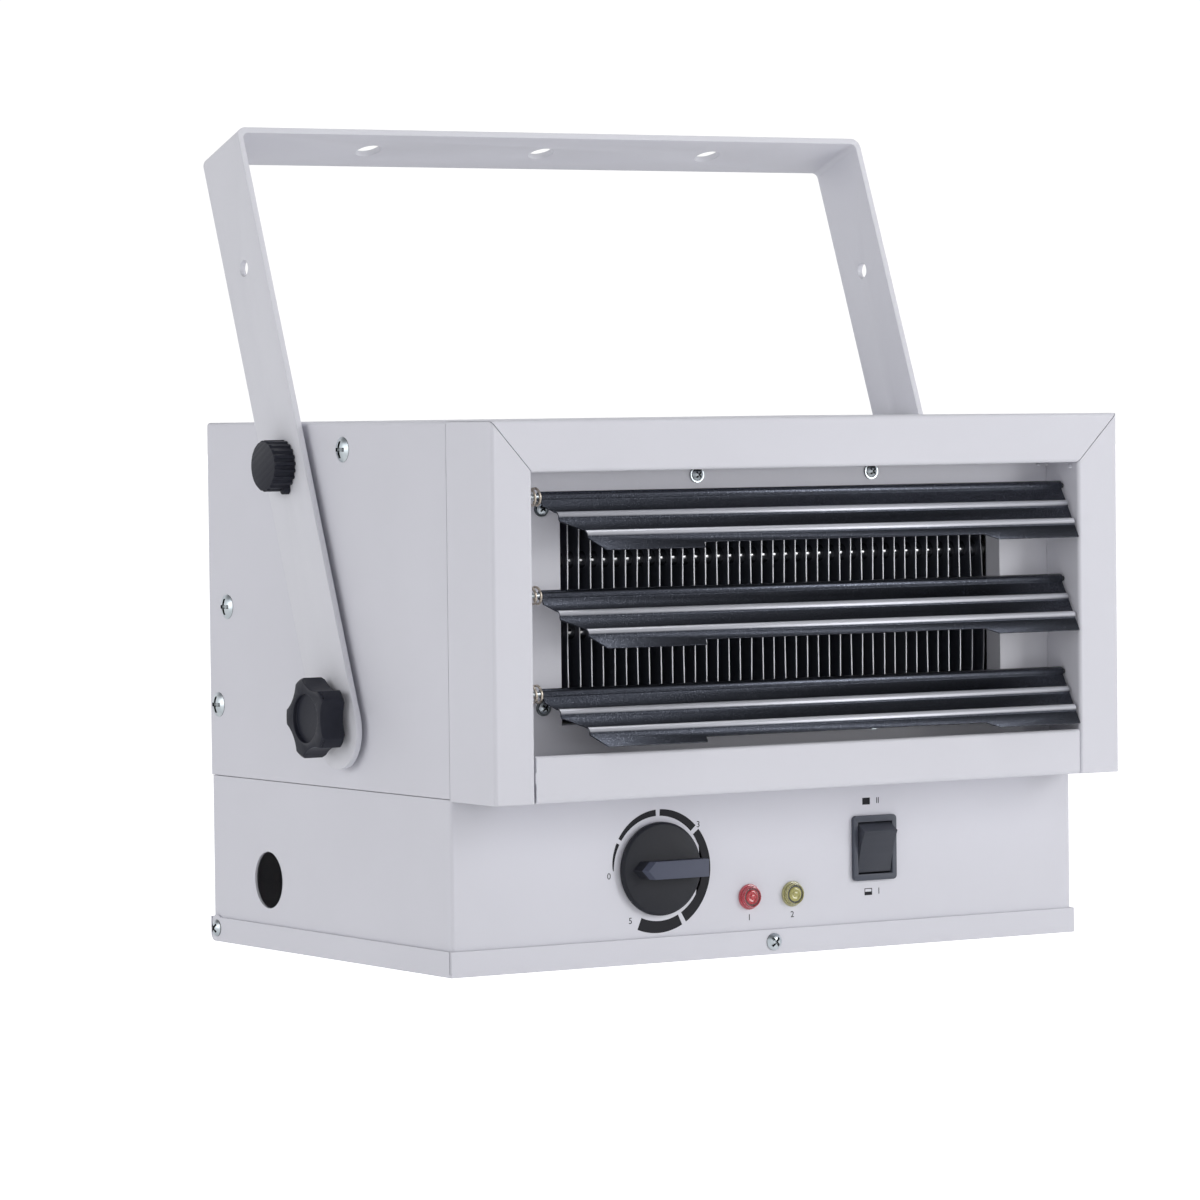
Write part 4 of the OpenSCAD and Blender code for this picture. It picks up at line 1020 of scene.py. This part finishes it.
@dataclass
class HeatingPack(Assembly):
    """Fins, rods, end plates and the duct around them."""

    body: str = "cabinet"
    count: int = 39
    pitch_mm: float = 6.38
    first_mm: float = -120.1
    thick_mm: float = 0.54
    rod_hole_mm: float = 4.05
    rod_hole_sides: int = 16
    rod_y_mm: tuple[float, ...] = (5.5, 22.5)
    rod_z_mm: tuple[float, ...] = (124.1, 157.05, 190.0)
    edge_steps: int = 14
    wander_mm: float = 0.28
    knocks_mm: tuple[float, ...] = (0.5, 1.4, 2.1)
    seed: int = 7

    def outline(self, low: Vector, high: Vector) -> bmesh.types.BMesh:
        """Make one flat fin with its rod holes, in the plane x = 0.

        Args:
            low: The lowest corner of the fins' box.
            high: Its highest corner.

        Returns:
            The fin's mesh.
        """
        bm = bmesh.new()
        rises = [(high.z - low.z) * k / self.edge_steps for k in range(self.edge_steps + 1)]
        border = [(low.y, low.z + rise) for rise in rises]
        border += [(high.y, high.z - rise) for rise in rises]
        loops = [border]
        radius = self.rod_hole_mm * MM
        for y in self.rod_y_mm:
            for z in self.rod_z_mm:
                at = row(0, y, z)
                loops.append(
                    [
                        (at.y + radius * math.cos(a), at.z + radius * math.sin(a))
                        for a in turns(self.rod_hole_sides)
                    ]
                )
        edges = []
        for loop in loops:
            verts = [bm.verts.new((0.0, y, z)) for y, z in loop]
            for i, vert in enumerate(verts):
                edges.append(bm.edges.new((vert, verts[(i + 1) % len(verts)])))
        bmesh.ops.triangle_fill(bm, use_beauty=True, edges=edges)
        return bm

    def bend(self, index: int, draw: random.Random) -> Callable[[float, float], float]:
        """Choose how far a fin leaves its plane; the last few are knocked further.

        Args:
            index: The fin's number, from the left.
            draw: Where its random shares come from.

        Returns:
            A function of shares of height and depth.
        """
        sway, lean, phase = (draw.uniform(-1.0, 1.0) for _ in range(3))
        nearness = index - self.count + len(self.knocks_mm)
        knock = self.knocks_mm[nearness] if nearness >= 0 else 0.0

        def offset(up: float, back: float) -> float:
            """Work out one place's offset.

            Args:
                up: The share of the fin's height.
                back: The share of its depth, from the front.

            Returns:
                The offset in millimetres.
            """
            wave = sway * math.sin(2.2 * math.pi * up + 3.0 * phase) + 0.6 * lean * (up - 0.5)
            bow = knock * math.sin(math.pi * min(1.0, 1.25 * up)) * (1.0 - 0.3 * up)
            return (self.wander_mm * wave + bow) * (1.0 - back) ** 1.5

        return offset

    def build_fins(self) -> None:
        """Make the row of fins, each a little out of true at its free front edge."""
        low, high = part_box("fin_pack")
        draw = random.Random(self.seed)
        bm = bmesh.new()
        flat = self.outline(low, high)
        half = self.thick_mm * MM / 2
        for index in range(self.count):
            offset = self.bend(index, draw)
            middle = (self.first_mm + index * self.pitch_mm) * MM
            sheets = []
            for side in (-half, half):
                verts = {}
                for vert in flat.verts:
                    up = (vert.co.z - low.z) / (high.z - low.z)
                    back = (vert.co.y - low.y) / (high.y - low.y)
                    x = middle + side + offset(up, back) * MM
                    verts[vert] = bm.verts.new((x, vert.co.y, vert.co.z))
                sheets.append(verts)
            for face in flat.faces:
                bm.faces.new([sheets[0][v] for v in face.verts])
                bm.faces.new([sheets[1][v] for v in reversed(face.verts)])
            for edge in flat.edges:
                if edge.is_boundary:
                    a, b = edge.verts
                    bm.faces.new((sheets[0][a], sheets[0][b], sheets[1][b], sheets[1][a]))
        flat.free()
        fins = from_bmesh("fin_row", bm, Shading.CREASED)
        self.add(fins, FINS, "fin_metal", ["fin_pack"])

    def build(self) -> None:
        """Make the fins and dress the pack's other parts."""
        self.build_fins()
        dress(ROD, "element_rods")
        dress(GALVANISED, "air_duct", "element_end_plates")
        dress(CREAM, "element_terminals")
        dress(INNER, "limit_thermostat")


@dataclass
class FanUnit(Assembly):
    """Fan, motor and their carrier."""

    body: str = "fan"

    def build(self) -> None:
        """Dress the fan and the motor."""
        dress(FAN, "fan_blade")
        dress(ZINC, "fan_shaft", "fan_nut", "motor_bracket_screws")
        dress(GALVANISED, "fan_shroud", "motor_bracket")
        dress(ENAMEL, "motor_housing")


@dataclass
class Louvres(Assembly):
    """Three blades, their pins and their springs."""

    body: str = "cabinet"
    names: tuple[str, ...] = ("upper", "middle", "lower")
    pivots_mm: tuple[float, ...] = (220.2, 175.2, 130.2)
    edge: Rounding = Rounding(0.00022, angle=35.0)
    window_left_mm: float = -155.5
    wire_mm: float = 0.58
    wire_sides: int = 12
    coil_mm: float = 3.9
    coil_turns: float = 3.7
    coil_steps: int = 132
    close_share: float = 0.45
    room_mm: float = 11.5
    seat_mm: float = 0.3
    first_turn: float = 1.3
    next_turn: float = 0.5

    def spring_path(self, z_mm: float, turn: float) -> list[Vector]:
        """Work out the middle line of one spring, with close end turns.

        Args:
            z_mm: The height of the louvre's pins.
            turn: The angle in radians that the wire starts at.

        Returns:
            The line's points.
        """
        points = []
        start = self.window_left_mm + self.seat_mm + self.wire_mm
        length = self.room_mm - 2 * self.seat_mm - 2 * self.wire_mm
        for k in range(self.coil_steps + 1):
            share = k / self.coil_steps
            close = 0.5 - 0.5 * math.cos(math.pi * share)
            along = (1.0 - self.close_share) * share + self.close_share * close
            angle = turn + math.tau * self.coil_turns * share
            y = PIVOT_Y_MM + self.coil_mm * math.cos(angle)
            z = z_mm + self.coil_mm * math.sin(angle)
            points.append(row(start + along * length, y, z))
        return points

    def build(self) -> None:
        """Make the blades with rounded edges, and the springs."""
        for name, z_mm in zip(self.names, self.pivots_mm):
            self.soften(
                f"{name}_blade",
                f"{name}_louvre",
                FlakePaint(f"{name}_louvre_paint", pivot_mm=z_mm),
                "louvre_paint",
                self.edge,
                f"{name}_vane",
            )
            dress(ZINC, f"{name}_louvre_pins")
        for k, (name, z_mm) in enumerate(zip(self.names, self.pivots_mm)):
            path = self.spring_path(z_mm, self.first_turn + k * self.next_turn)
            spring = tube(f"{name}_spring", path, self.wire_mm * MM, self.wire_sides)
            self.add(spring, WIRE, "spring_wire", ["louvre_springs"])


@dataclass
class Controls(Assembly):
    """Dial, switch, lamps and what stands behind them.

    A lamp's profiles pair radii with heights over the box, in millimetres. The
    radii of rim and groove count from lens_mm, those of the core are shares of its
    own radius, and the core's third numbers set every second point further in.
    """

    body: str = "cabinet"
    dial_edge: Rounding = Rounding(0.0004, 3, 22.0)
    surround_edge: Rounding = Rounding(0.0004, 3)
    rocker_edge: Rounding = Rounding(0.0004, 3, 25.0)
    lamp_z_mm: float = 28.1
    lamp_sides: int = 48
    lens_mm: float = 5.4
    core_inset_mm: float = 1.95
    rim: tuple[Pair, ...] = (
        (0.35, -0.2),
        (0.65, 0.05),
        (0.65, 0.6),
        (0.4, 0.85),
        (-0.1, 0.9),
        (-0.2, 2.2),
        (-0.3, 2.7),
        (-0.55, 3.1),
        (-0.8, 3.2),
        (-1.0, 3.1),
        (-1.15, 2.8),
        (-1.2, 1.6),
    )
    groove: tuple[Pair, ...] = ((-1.17, 2.65), (-1.22, 1.75), (-1.8, 1.7))
    cut: tuple[tuple[float, float, float], ...] = (
        (1.0, 1.5, 0.0),
        (1.0, 2.8, 0.0),
        (0.9, 3.1, 0.0),
        (0.7, 3.2, 0.0),
        (0.64, 2.95, 0.0),
        (0.4, 2.95, 0.1),
        (0.34, 3.2, 0.0),
        (0.1, 3.25, 0.0),
    )

    def ring(
        self, centre: Vector, radius_mm: float, out_mm: float, step_mm: float
    ) -> list[Vector]:
        """Lay a ring of points round a lamp's axis.

        Args:
            centre: The lamp's place on the box.
            radius_mm: The ring's radius.
            out_mm: How far in front of the box it lies.
            step_mm: How much further in every second point lies.

        Returns:
            The points.
        """
        points = []
        for k, a in enumerate(turns(self.lamp_sides, 0.5)):
            inward = step_mm * (k % 2) - out_mm
            at = Vector((radius_mm * math.cos(a), inward, radius_mm * math.sin(a)))
            points.append(centre + at * MM)
        return points

    def lamp(self, name: str, x_mm: float, finishes: Sequence[Finish], slot: str) -> None:
        """Make one lamp: a flange with a rounded lens ring, a well coloured dark as painted shade,
        and a cut core.

        Args:
            name: The lamp's name, and its CAD node's.
            x_mm: Its place along the control box.
            finishes: Those of the ring, the well, whose dark colour is painted shade, and the core.
            slot: The record's material slot.
        """
        centre = row(x_mm, 0, self.lamp_z_mm)
        edge, top = self.lens_mm, self.lens_mm - self.core_inset_mm
        profiles = {
            "lens": [(edge + r, h, 0.0) for r, h in self.rim],
            "well": [(edge + r, h, 0.0) for r, h in self.groove],
            "core": [(share * top, h, step) for share, h, step in self.cut],
        }
        for finish, (part, profile) in zip(finishes, profiles.items()):
            rings = [self.ring(centre, *sizes) for sizes in profile]
            body = loft(f"{name}_{part}", rings, Shading.CREASED)
            self.add(body, finish, slot, [name] if part == "lens" else ())

    def build(self) -> None:
        """Make the dial, switch and lamps, and dress the inner parts."""
        plastic = "switch_plastic"
        self.soften("dial_head", "dial_knob", DIAL_BLACK, "black_plastic", self.dial_edge, "dial")
        self.soften("switch_surround", "switch_housing", SWITCH_BLACK, plastic, self.surround_edge)
        self.soften(
            "switch_paddle", "rocker", ROCKER_BLACK, plastic, self.rocker_edge, "switch_rocker"
        )
        self.lamp("red_lamp", RED_X_MM, (RED, RED_WELL_PAINTED_SHADE, RED_CORE), "red_lens")
        self.lamp("amber_lamp", AMBER_X_MM, (AMBER, AMBER_WELL_PAINTED_SHADE, AMBER_CORE), "amber_lens")
        dress(INNER, "thermostat_body", "cord_clamp")
        dress(CREAM, "terminal_block", "power_relay")
        dress(ZINC, "dial_spindle")


@dataclass
class Markings(Assembly):
    """What is printed on the control box: plain and generic marks only."""

    body: str = "cabinet"
    rise_mm: float = 0.05
    dial_mm: Pair = (-64.2, 44.3)
    ring_mm: float = 24.7
    thin_mm: float = 0.4
    thick_mm: float = 5.9
    growth: float = 0.62
    sweep: Pair = (180.0, -113.0)
    gaps: tuple[float, ...] = (148.0, 90.0, 40.0, -62.0)
    gap_mm: float = 2.2
    gap_out_mm: float = 2.0
    step_deg: float = 3.0
    least_steps: int = 6
    capital_mm: float = 2.9
    capital_share: float = 0.69
    letter_space: float = 0.98
    curve_steps: int = 6
    weld_distance: float = 1e-7
    square_mm: Pair = (4.4, 3.3)
    line_mm: float = 0.35

    def keep(self, name: str, bm: bmesh.types.BMesh) -> None:
        """Add a printed mark from its mesh."""
        self.add(from_bmesh(name, bm, Shading.FLAT), INK, "black_plastic")

    def arc(self, first: float, last: float) -> list[Pair]:
        """Draw a piece of the ring, which grows wider along its whole sweep.

        Args:
            first: The angle in degrees where it begins.
            last: The angle in degrees where it ends.

        Returns:
            Its outline, as x, z points in metres.
        """
        start, end = self.sweep
        steps = max(self.least_steps, int(abs(last - first) / self.step_deg))
        inner, outer = [], []
        for k in range(steps + 1):
            angle = first + (last - first) * k / steps
            share = (start - angle) / (start - end)
            width = self.thin_mm + (self.thick_mm - self.thin_mm) * share**self.growth
            turn = math.radians(angle)
            for radius, points in ((self.ring_mm, inner), (self.ring_mm + width, outer)):
                x = self.dial_mm[0] + radius * math.cos(turn)
                z = self.dial_mm[1] + radius * math.sin(turn)
                at = row(x, 0, z)
                points.append((at.x, at.z))
        return inner + outer[::-1]

    def scale_ring(self) -> None:
        """Print the ring round the dial, in segments with even gaps."""
        stops = [self.sweep[0], *self.gaps, self.sweep[1]]
        half_gap = math.degrees(self.gap_mm / 2 / (self.ring_mm + self.gap_out_mm))
        for number, (first, last) in enumerate(zip(stops, stops[1:]), 1):
            begin = first - (half_gap if number > 1 else 0.0)
            end = last + (half_gap if number < len(stops) - 1 else 0.0)
            mark = flat_print(self.arc(begin, end), row(0, 0, 0).y, self.rise_mm * MM)
            bmesh.ops.triangulate(mark, faces=[f for f in mark.faces if len(f.verts) > 4])
            self.keep(f"dial_ring_{number}", mark)

    def sign(self, name: str, text: str, x_mm: float, z_mm: float) -> None:
        """Print a short generic mark.

        Args:
            name: The piece's name.
            text: What it shows.
            x_mm: The middle of the mark, along the box.
            z_mm: The middle of the mark, up the box.
        """
        curve = bpy.data.curves.new(name, "FONT")
        curve.body = text
        curve.align_x = "CENTER"
        curve.align_y = "CENTER"
        curve.size = self.capital_mm * MM / self.capital_share
        curve.space_character = self.letter_space
        curve.extrude = self.rise_mm * MM
        curve.resolution_u = self.curve_steps
        letters = bpy.data.objects.new(name, curve)
        bpy.context.scene.collection.objects.link(letters)
        bpy.context.view_layer.update()
        mesh = evaluated_mesh(letters)
        bpy.data.objects.remove(letters)
        upright = Matrix.Rotation(math.pi / 2, 4, "X")
        mesh.transform(Matrix.Translation(row(x_mm, 0, z_mm)) @ upright)
        bm = bmesh.new()
        bm.from_mesh(mesh)
        bpy.data.meshes.remove(mesh)
        bmesh.ops.remove_doubles(bm, verts=bm.verts, dist=self.weld_distance)
        self.keep(name, bm)

    def slab(self, name: str, left: float, base: float, right: float, top: float) -> None:
        """Print a rectangle, whose edges are given in millimetres.

        Args:
            name: The piece's name.
            left: Its left edge, along the box.
            base: Its lower edge, up the box.
            right: Its right edge, along the box.
            top: Its upper edge, up the box.
        """
        low, high = row(left, 0, base), row(right, 0, top)
        outline = [(low.x, low.z), (high.x, low.z), (high.x, high.z), (low.x, high.z)]
        self.keep(name, flat_print(outline, low.y, self.rise_mm * MM))

    def square(self, name: str, x_mm: float, z_mm: float, fill: Square) -> None:
        """Print a square mark, filled from below by its share.

        Args:
            name: The piece's name, and the start of its lines' names.
            x_mm: The middle of the mark, along the box.
            z_mm: The middle of the mark, up the box.
            fill: How much of it is filled.
        """
        wide, high = self.square_mm
        left, base = x_mm - wide / 2, z_mm - high / 2
        right, top = left + wide, base + high
        self.slab(name, left, base, right, base + high * fill.value)
        if fill is Square.HALF:
            under = top - self.line_mm
            self.slab(f"{name}_top", left, under, right, top)
            for part, x in (("left", left), ("right", right - self.line_mm)):
                self.slab(f"{name}_{part}", x, base + high / 2, x + self.line_mm, under)

    def build(self) -> None:
        """Print all marks."""
        self.scale_ring()
        self.sign("mark_start", "0", -91.6, 41.9)
        self.sign("mark_middle", "3", -41.6, 63.8)
        self.sign("mark_end", "5", -80.0, 20.4)
        self.sign("mark_lamp_one", "1", RED_X_MM, 18.2)
        self.sign("mark_lamp_two", "2", AMBER_X_MM, 18.2)
        self.square("mark_full", 54.8, 70.2, Square.FULL)
        self.square("mark_half", 55.6, 26.6, Square.HALF)
        self.sign("mark_two", "II", 61.5, 70.2)
        self.sign("mark_one", "I", 61.8, 26.6)


# --------------------------------------------------------------------- studio


@dataclass
class Softbox:
    """A flat light that looks at the heater from a distance."""

    name: str
    azimuth: float
    elevation: float
    distance: float
    size: float
    power: float
    depth: float = 0.0
    target: Point = (0.0, -0.12, -0.27)
    colour: Colour = WHITE

    def build(self) -> None:
        """Hang the light, square or, where it has a depth, oblong."""
        light = bpy.data.lights.new(self.name, "AREA")
        light.shape = "RECTANGLE"
        light.size = self.size
        light.size_y = self.depth or self.size
        light.energy = self.power
        light.color = self.colour
        back = towards(self.azimuth, self.elevation)
        lamp = bpy.data.objects.new(self.name, light)
        lamp.location = Vector(self.target) + back * self.distance
        lamp.rotation_euler = (-back).to_track_quat("-Z", "Y").to_euler()
        bpy.context.scene.collection.objects.link(lamp)


@dataclass
class Studio:
    """White floor, soft light and the photograph's camera."""

    azimuth: float = -32.19
    elevation: float = 2.04
    roll: float = -0.65
    distance: float = 2.681
    target_mm: Point = (-27.5, 80.0, 125.0)
    shift_right: float = -0.0148
    shift_up: float = 0.0422
    focal_px: float = 5540.0
    frame_px: float = 1200.0
    sensor_mm: float = 36.0
    clip_end: float = 200.0
    floor_sides: int = 96
    floor_radius: float = 40.0
    floor_drop: float = 0.1
    floor_glow: float = 0.178
    floor_seen: float = 0.64
    paper_scale: float = 6.0
    paper: tuple[Colour, Colour] = ((0.86, 0.86, 0.86), (0.88, 0.88, 0.88))
    sky_low: float = 0.912
    sky_middle: float = 0.08
    sky_high: float = 0.986
    sky_seen: float = 1.05
    sky_tint: Colour = (0.98, 0.985, 1.0)
    middle_band: Pair = (0.4, 0.6)
    high_band: Pair = (0.88, 0.96)
    softboxes: tuple[Softbox, ...] = (
        Softbox("key_light", 40.0, 12.0, 2.6, 0.9, 20.0, 1.5),
        Softbox("side_light", -90.0, 10.0, 2.6, 1.8, 13.1),
        Softbox("top_light", 40.0, 78.0, 2.4, 0.9, 13.0),
    )

    def camera(self) -> None:
        """Set the camera where the photograph was taken from."""
        a, t = math.radians(self.azimuth), math.radians(self.roll)
        back = towards(self.azimuth, self.elevation)
        level = Vector((math.cos(a), math.sin(a), 0.0))
        up = back.cross(level)
        right = math.cos(t) * level + math.sin(t) * up
        top = math.cos(t) * up - math.sin(t) * level
        data = bpy.data.cameras.new("photo_camera")
        data.sensor_width = self.sensor_mm
        data.lens = self.focal_px / self.frame_px * self.sensor_mm
        data.clip_end = self.clip_end
        eye = bpy.data.objects.new("photo_camera", data)
        turn = Matrix((right, top, back)).transposed().to_4x4()
        place = (
            row(*self.target_mm)
            + back * self.distance
            + right * self.shift_right
            + top * self.shift_up
        )
        eye.matrix_world = Matrix.Translation(place) @ turn
        bpy.context.scene.collection.objects.link(eye)
        bpy.context.scene.camera = eye

    def floor(self) -> None:
        """Lay a wide white disc below the lowest place that the tilted cabinet reaches."""
        bm = bmesh.new()
        bmesh.ops.create_circle(
            bm, cap_ends=True, segments=self.floor_sides, radius=self.floor_radius
        )
        disc = from_bmesh("studio_floor", bm, Shading.FLAT)
        disc.location.z = CAD_BOX[0][2] - self.floor_drop
        g = Graph(bpy.data.materials.new("studio_paper"))
        disc.data.materials.append(
            g.surface(
                Base_Color=g.blend(g.grain(self.paper_scale), *self.paper),
                Roughness=0.9,
                Emission_Color=WHITE,
                Emission_Strength=self.floor_glow,
            )
        )
        shader = g.output("Principled BSDF")
        seen = g.node("ShaderNodeEmission", {}, {"Strength": self.floor_seen})
        whole = g.node("ShaderNodeAddShader", {}, {0: shader, 1: seen})
        g.for_camera(shader, whole, "Material Output")

    def sky(self) -> None:
        """Surround the scene with light in three bands of height, white to the camera."""
        world = bpy.data.worlds.new("studio_air")
        bpy.context.scene.world = world
        g = Graph(world)
        way = g.node("ShaderNodeTexCoord", output="Generated")
        height = g.part(way, 2)
        above, over = height.ramp(*self.middle_band), height.ramp(*self.high_band)
        strength = (
            self.sky_low * (1.0 - above)
            + self.sky_middle * (above - over)
            + self.sky_high * over
        )
        tint = (*self.sky_tint, 1.0)
        lit = g.node("ShaderNodeBackground", {}, {"Color": tint, "Strength": strength})
        white = {"Color": (*WHITE, 1.0), "Strength": self.sky_seen}
        g.for_camera(lit, g.node("ShaderNodeBackground", {}, white), "World Output")

    def build(self) -> None:
        """Set up camera, floor, light and plain colour handling."""
        self.camera()
        self.floor()
        self.sky()
        for softbox in self.softboxes:
            softbox.build()
        view = bpy.context.scene.view_settings
        view.view_transform = "Standard"
        view.look = "None"
        view.exposure = 0.0


def main() -> None:
    """Build the studio and every sub-assembly, and report each piece."""
    logging.basicConfig(level=logging.INFO, format="%(name)s: %(message)s")
    Studio().build()
    for assembly in (
        Strap(),
        StarKnobs(),
        Cabinet(),
        FrontFrame(),
        HeatingPack(),
        FanUnit(),
        Louvres(),
        Controls(),
        Markings(),
    ):
        assembly.build()
        kind = type(assembly).__name__
        for piece in assembly.pieces:
            LOG.info("%s: %s, %d faces", kind, piece.name, len(piece.data.polygons))


if __name__ == "__main__":
    main()
